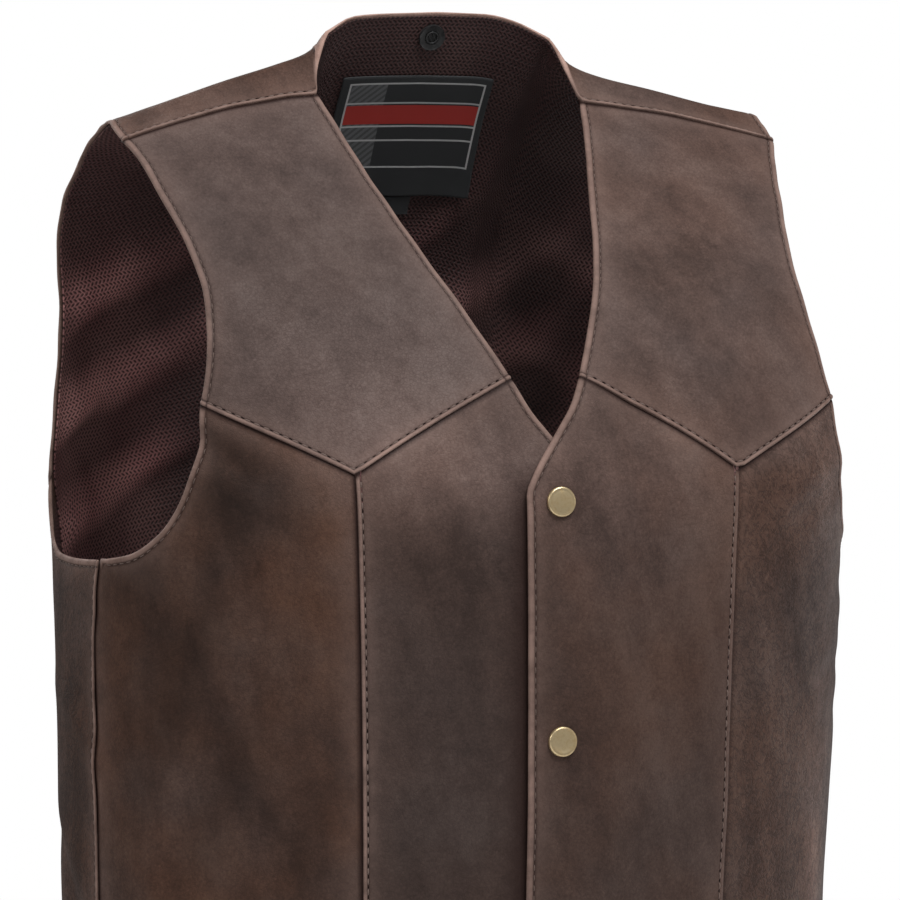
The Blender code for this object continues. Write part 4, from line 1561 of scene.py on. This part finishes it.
@dataclass
class Sewing:
    """Rows of stitches, joined into one mesh: arched threads with dark lenses of painted shade for the needle
    holes between.
    """

    name: str
    pitch: float = STITCH_PITCH
    length: float = STITCH_LENGTH
    half_width: float = 0.00036
    arch: float = 0.00030
    hole_half: float = 0.00085
    hole_width: float = 0.00050
    hole_levels: tuple[float, float, float] = (-0.00030, 0.00004, 0.00010)
    thread_flat: float = 0.8
    thread_bow: float = 1.9
    points: list = field(default_factory=list)
    faces: list = field(default_factory=list)
    slots: list = field(default_factory=list)
    total: int = 0

    def prototype(self) -> StitchShape:
        """Models one stitch along +X and the dark lens of painted shade in its needle hole."""
        Workbench.clear()
        bpy.ops.mesh.primitive_uv_sphere_add(segments=8, ring_count=6, radius=1.0,
                                             rotation=(0, math.pi / 2, 0))
        item = Workbench.take("stitch")
        co = np.array([v.co for v in item.data.vertices])
        x = co[:, 0]
        co = np.stack([
            x * self.length / 2,
            co[:, 1] * self.half_width,
            co[:, 2] * self.half_width * self.thread_flat + self.arch * (1.0 - self.thread_bow * x * x),
        ], axis=1)
        faces = [list(face.vertices) for face in item.data.polygons]
        bpy.data.objects.remove(item)
        thread, start, corners = len(faces), len(co), 8
        around = 2 * math.pi * np.arange(corners) / corners
        deep, level, high = self.hole_levels
        ring = np.stack([self.pitch / 2 + self.hole_half * np.cos(around),
                         self.hole_width * np.sin(around), np.full(corners, level)], axis=1)
        tips = np.array([(self.pitch / 2, 0.0, high), (self.pitch / 2, 0.0, deep)])
        for k in range(corners):
            here, after = start + k, start + (k + 1) % corners
            faces += [[here, after, start + corners], [after, here, start + corners + 1]]
        return StitchShape(np.concatenate([co, ring, tips]), faces, start, thread)

    def row(self, line: Array, normals: Array, shape: StitchShape, weight: float) -> None:
        """Sews along a line.

        Args:
            line: the places along it.
            normals: the surface's normals there.
            shape: one stitch.
            weight: the thread's width against the usual; a thin one shows no needle holes.
        """
        key = lengths(line)
        count = int(key[-1] / self.pitch)
        if count < 1:
            return
        spare = (key[-1] - count * self.pitch) / 2
        at = spare + self.pitch * (np.arange(count) + 0.5)

        def read(values: Array, where: Array) -> Array:
            """Reads rows of values along the line."""
            return np.stack([np.interp(where, key, values[:, k]) for k in range(3)], axis=1)

        middle, out = read(line, at), unit(read(normals, at))
        along = unit(read(line, at + self.pitch / 3) - read(line, at - self.pitch / 3))
        aside = unit(np.cross(out, along))
        out = np.cross(along, aside)
        stitch = shape.sized(weight)
        co, holes = stitch.points, len(stitch.faces) - stitch.thread_faces
        for k in range(count):
            placed = co[:, :1] * along[k] + co[:, 1:2] * aside[k] + co[:, 2:] * out[k]
            self.points.append(middle[k] + placed)
            self.faces += [[i + self.total for i in face] for face in stitch.faces]
            self.slots += [0] * stitch.thread_faces + [1] * holes
            self.total += len(co)

    def build(self, materials: Sequence[Material]) -> Item:
        """Makes the rows' mesh."""
        mesh = new_mesh(self.name, np.concatenate(self.points), self.faces, materials)
        mesh.polygons.foreach_set("material_index", self.slots)
        mesh.update()
        return linked(self.name, mesh)


@dataclass
class LeatherPanel:
    """One piece of leather: its shell and its rows of stitches."""

    node: str
    cut: Cut
    hide: Hide
    wall: float = FRONT_WALL
    lip: float = 0.0006
    lip_width: float = 0.0090
    lifted: bool = False
    lapped_over: bool = False
    lined: bool = True
    neck_rubbed_and_lit: bool = False
    seam_height: float = 1.0

    def build(self, finishes: Finishes, stitch: StitchShape) -> Item:
        """Args:
            finishes: the materials by name.
            stitch: one stitch.

        Returns:
            The panel's object.
        """
        grid = self.cut.grid()
        base = FORM.settled(grid.angle, grid.lap)
        if self.lifted:
            base = base + FORM.lift(grid.angle, grid.lap)
        relief, inner_depth, wear, dark, turned = self.edges(grid)
        relief = relief + self.waver(grid, turned)
        outer = grid.points + grid.out * (base + relief)[..., None]
        inner = grid.points + grid.out * (base - inner_depth)[..., None]
        stitches = self.sew(grid, outer, finishes, stitch)
        wear, dark, tone = self.shaded(grid, wear, dark)
        outer, inner, wear, dark, tone, turned = self.tongues(grid, outer, inner, wear, dark, tone, turned)
        shell = Shell(self.node + "_leather", outer, inner, wear, dark, tone, self.hide,
                      turned if self.lined else None)
        item = shell.build([finishes["leather"], finishes["mesh_lining"]])
        ride(item, "leather", self.node)
        return item

    def shaded(self, grid: Grid, wear: Array, dark: Array) -> tuple[Array, ...]:
        """Works out the colour masks of the whole panel, with its painted light and shade.

        Args:
            grid: the panel's grid.
            wear: the wear of its borders.
            dark: the shadow of its borders.

        Returns:
            The wear, the shadow and the tone.
        """
        # painted shade: the panels grow darker below the yokes, where they turn upright and take less light
        # from above
        fade = 1.0 - LOWER_PAINTED_SHADE * ramp(grid.lap * grid.lap, *LOWER_PAINTED_SHADE_DROPS)
        tone = self.hide.shade * fade * (1.0 + FORM.stains_and_painted_light(grid.angle, grid.lap))
        # at the back's neck the wear is real, and the raised tone is a painted highlight where the rim
        # catches light from above
        if self.neck_rubbed_and_lit:
            beside = 1.0 - ramp(np.abs(grid.angle), *NECK_RUB_AND_HIGHLIGHT_ANGLES)
            rubbed = (1.0 - ramp(grid.away[Side.TOP], *NECK_RUB_AND_HIGHLIGHT_WIDTHS)) * beside
            wear = np.maximum(wear, rubbed)
            tone = tone * (1.0 + NECK_PAINTED_HIGHLIGHT * rubbed)
        if self.lapped_over:
            beside = np.minimum(grid.angle + EDGE_ANGLE, 0.0) / LAP_SHADOW_ANGLE
            shadow = LAP_SHADOW * np.exp(-beside * beside) * ramp(grid.lap * grid.lap, *LAP_SHADOW_DROPS)
            dark = np.maximum(dark, shadow)
        return wear, dark, tone

    def edges(self, grid: Grid) -> tuple[Array, Array, Array, Array, Array]:
        """Works out the finish near the borders.

        Args:
            grid: the panel's grid.

        Returns:
            The outer face's relief, the inner face's depth, and the masks of wear, of shadow
            and of the turned-in leather.
        """
        shape = grid.angle.shape
        relief, wear, dark, turned = (np.zeros(shape) for _ in range(4))
        inner = np.full(shape, self.wall)
        for side in Side:
            away = grid.away[side]
            for edge in Edge:
                weight = self.cut.border(side).weight(edge, grid.share(side))
                weight = weight[:, None] if side.upright else weight[None]
                if not weight.any():
                    continue
                table = EDGE_FINISH[edge]
                where = column(table, "away")
                marked = weight
                if side.upright and edge is not Edge.TURNED:
                    marked = weight * self.seam_height
                relief = relief + marked * np.interp(away, where, column(table, "height"))
                wear = np.maximum(wear, marked * np.interp(away, where, column(table, "wear")))
                dark = np.maximum(dark, marked * np.interp(away, where, column(table, "dark")))
                if edge is Edge.TURNED:
                    fold = 1.0 - ramp(away, self.lip_width - LIP_SOFT, self.lip_width)
                    soft = LIP_SOFT * np.exp(-away / LIP_SOFT)
                    inner = np.maximum(inner, self.wall + weight * (self.lip * fold - soft))
                    turned = np.maximum(turned, weight * fold)
                elif edge is Edge.OVER:
                    clear = self.wall * (1.0 - ramp(away, *CLEAR_WIDTHS))
                    inner = np.minimum(inner, self.wall - weight * clear)
        wear = wear * (1.0 - dark)
        return relief, inner, wear, dark, turned

    def waver(self, grid: Grid, turned: Array) -> Array:
        """Returns the slight unevenness of the leather near its turned edges."""
        phase = self.hide.place
        run_down, run_across = grid.lap * WAVES_DOWN, np.radians(grid.angle) * WAVES_ACROSS
        wave = np.sin(run_down * 2.3 + phase) + 0.7 * np.sin(run_across * 3.1 + run_down + 2.0 * phase)
        return WAVE_HEIGHT * wave * (WAVE_INSIDE + (1.0 - WAVE_INSIDE) * turned)

    def tongues(self, grid: Grid, outer: Array, inner: Array, *masks: Array) -> tuple:
        """Lengthens the borders that lie hidden under a neighbour.

        Args:
            grid: the panel's grid.
            outer: the outer face's points.
            inner: the inner face's points.
            *masks: the masks to lengthen with them.

        Returns:
            The points and masks with the tongues added.
        """
        values = [outer, inner, *masks]
        out = grid.out
        for side in Side:
            weight = self.cut.border(side).weight(Edge.UNDER, grid.share(side))
            if not weight.any():
                continue
            axis = int(side.upright)
            last = 0 if side in (Side.TOP, Side.LEFT) else -1
            before = BESIDE if last == 0 else -1 - BESIDE
            edge, inside = (np.take(values[0], place, axis=axis) for place in (last, before))
            if len(weight) < len(edge):
                weight = np.interp(np.linspace(0, 1, len(edge)), np.linspace(0, 1, len(weight)), weight)
            off = unit(edge - inside) * (TONGUE * weight + TONGUE_LEAST)[:, None]
            sink = np.take(out, last, axis=axis) * (TONGUE_SINK * weight)[:, None]
            grown = []
            for number, value in enumerate(values):
                strip = np.take(value, last, axis=axis)
                if number < 2:
                    strip = strip + off - sink
                strip = np.expand_dims(strip, axis)
                parts = [strip, value] if last == 0 else [value, strip]
                grown.append(np.concatenate(parts, axis=axis))
            values = grown
            strip = np.expand_dims(np.take(out, last, axis=axis), axis)
            out = np.concatenate([strip, out] if last == 0 else [out, strip], axis=axis)
        return tuple(values)

    def sew(self, grid: Grid, outer: Array, finishes: Finishes, stitch: StitchShape) -> Item:
        """Sews the panel's turned and lapped edges.

        Args:
            grid: the panel's grid.
            outer: the outer face's points.
            finishes: the materials by name.
            stitch: one stitch.

        Returns:
            The stitches' object.
        """
        sewing = Sewing(self.node + "_stitches")
        for side in Side:
            others = (Side.TOP, Side.BOTTOM) if side.upright else (Side.LEFT, Side.RIGHT)
            for edge, inset, heavy in ((Edge.TURNED, EDGE_STITCH, THIN), (Edge.OVER, SEAM_STITCH, THICK)):
                sewn = self.cut.border(side).weight(edge, grid.share(side)) > 0.5
                if not sewn.any():
                    continue
                places, normals, clear = self.trace(grid, outer, side, inset, others)
                for start, end in stretches(clear & sewn):
                    sewing.row(places[start:end], normals[start:end], stitch, heavy)
        stitches = sewing.build([finishes["thread"], finishes["needle_hole"]])
        return ride(stitches, "leather")

    @staticmethod
    def trace(grid: Grid, outer: Array, side: Side, inset: float, others: tuple[Side, Side]) -> tuple:
        """Follows one side of the panel at a distance in from it.

        Args:
            grid: the panel's grid.
            outer: the outer face's points.
            side: the side to follow.
            inset: the distance in.
            others: the two sides that end it.

        Returns:
            Places, normals, and whether each lies clear of the other two sides.
        """
        away, out = grid.away[side], grid.out
        bounds = [grid.away[other] for other in others]
        if not side.upright:
            away, outer, out = away.T, outer.transpose(1, 0, 2), out.transpose(1, 0, 2)
            bounds = [values.T for values in bounds]
        if side in (Side.RIGHT, Side.BOTTOM):
            away, outer, out = away[:, ::-1], outer[:, ::-1], out[:, ::-1]
            bounds = [values[:, ::-1] for values in bounds]
        places, normals, keep = [], [], []
        for row in range(len(away)):
            for found, values in ((places, outer), (normals, out)):
                found.append([np.interp(inset, away[row], values[row, :, k]) for k in range(3)])
            keep.append(min(np.interp(inset, away[row], values[row]) for values in bounds) > STITCH_CLEAR)
        return np.array(places), unit(np.array(normals)), np.array(keep)


def stretches(keep: Array) -> list[tuple[int, int]]:
    """Returns the start and end of each unbroken stretch of true values."""
    found, start = [], None
    for place, value in enumerate(list(keep) + [False]):
        if value and start is None:
            start = place
        elif not value and start is not None:
            if place - start > 2:
                found.append((start, place))
            start = None
    return found


@dataclass
class BackLining:
    """The mesh lining inside the back, from the neck down to just above the hem."""

    node: str = "back_lining"
    in_from_edge: float = 0.0018
    in_from_hem: float = 0.0180
    depth: float = LEATHER + GAP
    held_laps: tuple[float, float] = (0.10, 0.20)
    held_widths: tuple[float, float] = (0.001, 0.016)
    neck_laps: tuple[float, float] = (0.28, 0.42)
    neck_angles: tuple[float, float] = (22.0, 40.0)
    middle_widths: tuple[float, float] = (0.094, 0.150)
    arm_widths: tuple[float, float] = (0.100, 0.140)
    arm_laps: tuple[float, float] = (0.20, 0.34)
    crest_height: float = 0.005
    # tone of the lining, with painted shadow at the neck, in the middle and under the arms and a painted
    # highlight on the crests
    tone_out: float = 2.55
    neck_painted_shadow: float = 1.75
    middle_painted_shadow: float = 0.78
    arm_painted_shadow: float = 0.45
    trough_painted_shade: float = 0.60
    crest_painted_highlight: float = 0.92

    def loose(self, angle: Array, lap: Array) -> Array:
        """Returns how far the lining's own creases hang into the hollow, below 0."""
        return np.minimum(FORM.creases(angle, lap, LINING_CREASES) * ramp(lap, *self.held_laps), 0.0)

    def relief(self, angle: Array, lap: Array, hang: float | Array = 1.0) -> Array:
        """Returns the lining's height at each point."""
        return FORM.settled(angle, lap) - self.depth + self.loose(angle, lap) * hang

    def tone(self, grid: Grid) -> Array:
        """Returns the lining's tone with its painted light and shade: painted shadow at the neck, in the
        middle and under the arms, and a painted highlight on the crests of its creases.
        """
        out = np.abs(grid.points[..., 0])
        neck = 1.0 - ramp(grid.lap, *self.neck_laps)
        neck = neck * (1.0 - ramp(np.abs(grid.angle), *self.neck_angles))
        deep = (1.0 - ramp(out, *self.middle_widths)) * (1.0 - neck)
        under_arm = ramp(out, *self.arm_widths) * (1.0 - ramp(grid.lap, *self.arm_laps))
        crest = -self.loose(grid.angle, grid.lap) / self.crest_height
        shade = (1.0 - self.middle_painted_shadow * deep) * (1.0 - self.arm_painted_shadow * under_arm)
        return (self.tone_out - self.neck_painted_shadow * neck) * shade * (self.trough_painted_shade + self.crest_painted_highlight * crest)

    def build(self, finishes: Finishes) -> Item:
        starts = {side: self.in_from_hem if side is Side.BOTTOM else self.in_from_edge for side in Side}
        grid = back_cut().grid(starts)
        sides = np.minimum(grid.away[Side.LEFT], grid.away[Side.RIGHT])
        height = self.relief(grid.angle, grid.lap, ramp(sides, *self.held_widths))
        outer = grid.points + grid.out * height[..., None]
        inner = outer - grid.out * LINING
        none = np.zeros(height.shape)
        shell = Shell("back_lining_mesh", outer, inner, none, none, self.tone(grid))
        item = shell.build([finishes["mesh_lining"]])
        ride(item, "mesh_lining", self.node)
        return item


@dataclass
class WovenPatch:
    """A woven label or tab that lies on the back lining."""

    node: str
    centre: float
    half_width: float
    top: float
    bottom: float
    finish: str
    curl: float
    lining: BackLining
    rows: int = 60
    cols: int = 84
    search: float = 40.0
    most_wave: float = 0.0012
    curl_middle: float = 0.45

    def build(self, finishes: Finishes) -> Item:
        laps = np.linspace(math.sqrt(self.top), math.sqrt(self.bottom), self.rows)
        across = np.linspace(-1.0, 1.0, self.cols)
        wide = np.linspace(-self.search, self.search, 400)
        lap = np.repeat(laps[:, None], self.cols, axis=1)
        angle = np.zeros(lap.shape)
        for row, value in enumerate(laps):
            xs = FORM.bare(wide, np.full(len(wide), value))[:, 0]
            angle[row] = np.interp(self.centre + across * self.half_width, xs, wide)
        down = np.linspace(0.0, 1.0, self.rows)[:, None]
        corners = self.curl_middle + (1.0 - self.curl_middle) * across[None] ** 2
        lifted = self.curl * down ** 5 * corners
        height = self.lining.relief(angle, lap) - (LINING + GAP + lifted)
        height = np.minimum(height, height.mean(axis=1, keepdims=True) + self.most_wave)
        points, out = FORM.bare(angle, lap), FORM.outward(angle, lap)
        outer = points + out * height[..., None]
        inner = outer - out * LABEL_WALL
        none = np.zeros(height.shape)
        shell = Shell(self.node + "_cloth", outer, inner, none, none, none + 1.0)
        item = shell.build([finishes[self.finish]])
        ride(item, "label_cloth", self.node)
        return item


class FrontSnaps:
    """The four snaps down the front: caps outside, their posts' rings inside."""

    def cap(self) -> Item:
        """Models one cap: a rolled rim round a slightly raised face."""
        item = Workbench.disc("cap_model", CAP_RADIUS, CAP_HEIGHT, 56)
        Workbench.round_top(item, CAP_HEIGHT * 0.9, 0.0011, 5)
        Workbench.sink_top(item, (0.0005, -0.00016), (0.0006, 0.00014), (0.0022, 0.00012))
        return Workbench.done(item, ROUND_SHADE)

    def ring(self) -> Item:
        """Models the rolled ring of the post, as it shows inside."""
        height = 0.0010
        item = Workbench.disc("ring_model", 0.0050, height, 40)
        Workbench.sink_top(item, (0.0020, -0.0006), (0.0009, 0.0004))
        Workbench.round_top(item, height * 0.9, 0.0003, 3)
        return Workbench.done(item)

    def build(self, finishes: Finishes) -> None:
        """Sets the snaps down the front."""
        cap, ring, brass = self.cap(), self.ring(), finishes["brass"]
        for number in range(SNAP_COUNT):
            tag = str(number + 1)
            drop = -(SNAP_FIRST + SNAP_PITCH * number)
            base = float(FORM.settled(np.array([0.0]), lap_of(np.array([drop])))[0])
            spin = Matrix.Rotation(math.radians(SNAP_SPIN * number), 4, "Z")
            place = seated(0.0, drop, base + OVERLAP_LIFT + SNAP_GAP)
            fitted(cap, "snap_cap_" + tag, place @ spin, "brass", brass)
            place = seated(0.0, drop, base - FRONT_WALL - SNAP_GAP, inwards=True)
            fitted(ring, "snap_back_" + tag, place @ spin, "brass", brass)
            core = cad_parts["snap_core_" + tag]
            core.data.materials.clear()
            core.data.materials.append(brass)
        for model in (cap, ring):
            bpy.data.objects.remove(model)


@dataclass
class NeckSnap:
    """The black snap at the back of the neck: a socket inside and a cap outside."""

    radius: float = 0.0070
    rim: float = 0.00085
    well: float = 0.0031
    wire_offset: float = 0.0011
    spin: float = 35.0
    above_lining: float = 0.0004
    above_leather: float = 0.0003

    def socket(self) -> Item:
        """Models the socket: a raised rim, a sunk floor, an inner ring and two spring wires."""
        height = 0.0018
        base = Workbench.disc("socket_model", self.radius, height, 48)
        Workbench.sink_top(base, (self.rim, -0.0007), (0.0022, 0.0), (0.0003, -0.0006))
        Workbench.round_top(base, height - 0.0001, 0.0003, 3)
        Workbench.done(base)
        bpy.ops.mesh.primitive_torus_add(location=(0, 0, 0.0012), major_radius=self.well,
                                         minor_radius=0.00045, major_segments=36, minor_segments=8)
        inner = Workbench.done(Workbench.take("socket_ring"), WIRE_SHADE)
        wires = []
        for offset in (-self.wire_offset, self.wire_offset):
            bpy.ops.mesh.primitive_cylinder_add(vertices=8, radius=0.00028, depth=0.0050,
                                                location=(offset, 0, 0.0011), rotation=(math.pi / 2, 0, 0))
            wires.append(Workbench.done(Workbench.take("socket_wire"), WIRE_SHADE))
        return Workbench.join("neck_snap_socket_model", [base, inner, *wires])

    def cap(self) -> Item:
        """Models the cap outside: a low dome with a soft rim."""
        height = 0.0014
        item = Workbench.disc("neck_cap_model", self.radius, height, 48)
        Workbench.round_top(item, height - 0.0001, 0.0009, 5)
        Workbench.sink_top(item, (0.0022, 0.00015))
        return Workbench.done(item, ROUND_SHADE)

    def build(self, finishes: Finishes) -> None:
        """Sets the snap at the neck."""
        socket, cap, black = self.socket(), self.cap(), finishes["black_metal"]
        inside = -(LEATHER + GAP + LINING + self.above_lining)
        turn = Matrix.Rotation(math.radians(self.spin), 4, "Z")
        place = seated(0.0, NECK_SNAP_DROP, inside, inwards=True) @ turn
        fitted(socket, "neck_snap_socket", place, "black_metal", black)
        place = seated(0.0, NECK_SNAP_DROP, self.above_leather)
        fitted(cap, "neck_snap_cap", place, "black_metal", black)
        for model in (socket, cap):
            bpy.data.objects.remove(model)


@dataclass
class Studio:
    """The camera, the lights and the pale floor."""

    azimuth: float = -22.0
    elevation: float = 2.0
    distance: float = 2.8
    lens: float = 218.4
    target: tuple = (-0.0013, -0.0059, -0.1704)
    floor_drop: float = 0.70
    floor_radius: float = 1.5
    ground_light: float = 0.24

    def camera(self) -> None:
        """Places the camera where the photo was taken from."""
        data = bpy.data.cameras.new("camera")
        data.sensor_width = 36.0
        data.lens = self.lens
        data.clip_end = 50.0
        item = linked("camera", data)
        around, up = math.radians(self.azimuth), math.radians(self.elevation)
        back = Vector((math.sin(around) * math.cos(up), -math.cos(around) * math.cos(up), math.sin(up)))
        item.location = Vector(self.target) + back * self.distance
        item.rotation_euler = (-back).to_track_quat("-Z", "Y").to_euler()
        bpy.context.scene.camera = item

    def light(self, name: str, place: tuple, aim: tuple, size: float, power: float) -> None:
        """Adds a soft square light that faces a point."""
        data = bpy.data.lights.new(name, "AREA")
        data.size = size
        data.energy = power
        item = linked(name, data)
        item.location = place
        item.rotation_euler = (Vector(aim) - Vector(place)).to_track_quat("-Z", "Y").to_euler()

    def lights(self) -> None:
        """Adds a light overhead, one at each side, a low one behind the left side and one behind."""
        self.light("overhead", (0.45, -1.90, 2.60), (0.0, 0.0, -0.10), 1.5, 94.0)
        self.light("side_right", (-2.3, -0.7, 0.9), (0.0, 0.0, -0.15), 1.0, 12.0)
        self.light("side_left", (2.3, -1.1, 0.2), (0.0, 0.0, -0.25), 1.0, 4.0)
        self.light("rim", (2.2, 0.7, -0.8), (0.0, 0.0, -0.45), 0.9, 8.0)
        self.light("behind", (-0.8, 2.2, 1.2), (0.0, 0.0, -0.20), 1.6, 24.0)

    def world(self) -> None:
        """Sets a white ground for the camera and a dimmer one for the light."""
        world = bpy.data.worlds.new("studio")
        bpy.context.scene.world = world
        world.use_nodes = True
        build = Nodes(world.node_tree)
        world.node_tree.nodes.clear()
        seen = build.add("LightPath").outputs["Is Camera Ray"]
        strength = build.spread(seen, 0.0, 1.0, self.ground_light, 1.0)
        background = build.add("Background", {"Color": (1, 1, 1, 1), "Strength": strength})
        build.add("OutputWorld", {0: background.outputs[0]})
        bpy.context.scene.view_settings.view_transform = "Standard"

    def floor(self) -> None:
        """Lays a pale round floor that fades out at its rim."""
        Workbench.clear()
        bpy.ops.mesh.primitive_circle_add(vertices=96, radius=self.floor_radius, fill_type="NGON",
                                          location=(0, 0, -self.floor_drop))
        item = Workbench.take("floor")
        material = bpy.data.materials.new("floor")
        material.use_nodes = True
        build = Nodes(material.node_tree)
        material.node_tree.nodes.clear()
        place = build.add("TexCoord").outputs["Object"]
        flat = build.add("VectorMath", {0: place, 1: (1.0, 1.0, 0.0)}, operation="MULTIPLY")
        radius = build.add("VectorMath", {0: flat.outputs[0]}, operation="LENGTH").outputs["Value"]
        fade = build.spread(radius, self.floor_radius * 0.45, self.floor_radius * 0.98)
        pale = build.add("BsdfDiffuse", {"Color": (0.92, 0.92, 0.92, 1)})
        clear = build.add("BsdfTransparent")
        mixed = build.add("MixShader", {0: fade, 1: pale.outputs[0], 2: clear.outputs[0]})
        build.add("OutputMaterial", {0: mixed.outputs[0]})
        item.data.materials.append(material)

    def build(self) -> None:
        """Sets up the whole studio."""
        self.camera()
        self.lights()
        self.world()
        self.floor()


def make_finishes() -> Finishes:
    """Makes every material once, by name."""
    groups = {
        "clouding": cloud_group(),
        "leather grain": grain_group(),
        "edge wear and shade": wear_and_seam_shade_group(),
        "knitted mesh": knit_group(),
    }
    label = LabelFinish()
    brass = MetalFinish("brass", rgb(0.740, 0.585, 0.350), rgb(0.620, 0.460, 0.250), 0.34, 0.88)
    black = MetalFinish("black_metal", rgb(0.012, 0.012, 0.013), rgb(0.030, 0.029, 0.029), 0.38, 0.0)
    return {
        "leather": LeatherFinish().material(groups),
        "mesh_lining": MeshFinish().material(groups),
        "label_cloth": label.material("label_cloth", plain=False),
        "tab_cloth": label.material("tab_cloth", plain=True),
        "brass": brass.material(),
        "black_metal": black.material(),
        "thread": ThreadFinish().material(),
        "needle_hole": hole_shade_material(),
    }


@dataclass
class Vest:
    """The whole vest, built piece by piece."""

    finishes: Finishes

    def panels(self) -> list[LeatherPanel]:
        """Lists the leather panels, each from its own part of the hide."""
        return [
            LeatherPanel("yoke_left", yoke_cut(False), Hide(5.0, 1.08, 0.42, 0.12), lifted=True),
            LeatherPanel("yoke_right", yoke_cut(True), Hide(18.0, 1.05, 0.12, 0.10)),
            LeatherPanel("centre_front_left", centre_cut(False), Hide(7.3, 1.02, 0.66, 0.20), lifted=True,
                         seam_height=0.35),
            LeatherPanel("centre_front_right", centre_cut(True), Hide(20.3, 0.94, 0.32, 0.15),
                         lapped_over=True),
            LeatherPanel("side_front_left", side_front_cut(False), Hide(9.9, 1.02, 0.68, 0.85), lifted=True,
                         seam_height=0.35),
            LeatherPanel("side_front_right", side_front_cut(True), Hide(22.9, 0.92, 1.00, 0.25)),
            LeatherPanel("side_panel_left", side_panel_cut(False), Hide(12.1, 0.98, 0.60, 0.80)),
            LeatherPanel("side_panel_right", side_panel_cut(True), Hide(25.1, 1.00, 1.00, 1.00)),
            LeatherPanel("back", back_cut(), Hide(31.0, 0.94, 0.72, 0.20), LEATHER, 0.0016, 0.0016,
                         lined=False, neck_rubbed_and_lit=True),
        ]

    def build(self) -> None:
        """Builds the panels, the lining, the labels and the snaps."""
        stitch = Sewing("stitch").prototype()
        for panel in self.panels():
            panel.build(self.finishes, stitch)
        lining = BackLining()
        lining.build(self.finishes)
        tab_top, tab_bottom = LABEL_BOTTOM + TAB_GAP, LABEL_BOTTOM + TAB_LENGTH
        for patch in (
            WovenPatch("label", LABEL_CENTRE, LABEL_HALF_WIDTH, LABEL_TOP, LABEL_BOTTOM, "label_cloth",
                       0.0016, lining),
            WovenPatch("size_tab", TAB_CENTRE, TAB_HALF_WIDTH, tab_top, tab_bottom, "tab_cloth",
                       0.0006, lining),
        ):
            patch.build(self.finishes)
        FrontSnaps().build(self.finishes)
        NeckSnap().build(self.finishes)


def main() -> None:
    """Builds the studio and the vest."""
    logging.basicConfig(level=logging.INFO, format="%(name)s: %(message)s")
    Workbench.clear()
    Studio().build()
    Vest(make_finishes()).build()


if __name__ == "__main__":
    main()
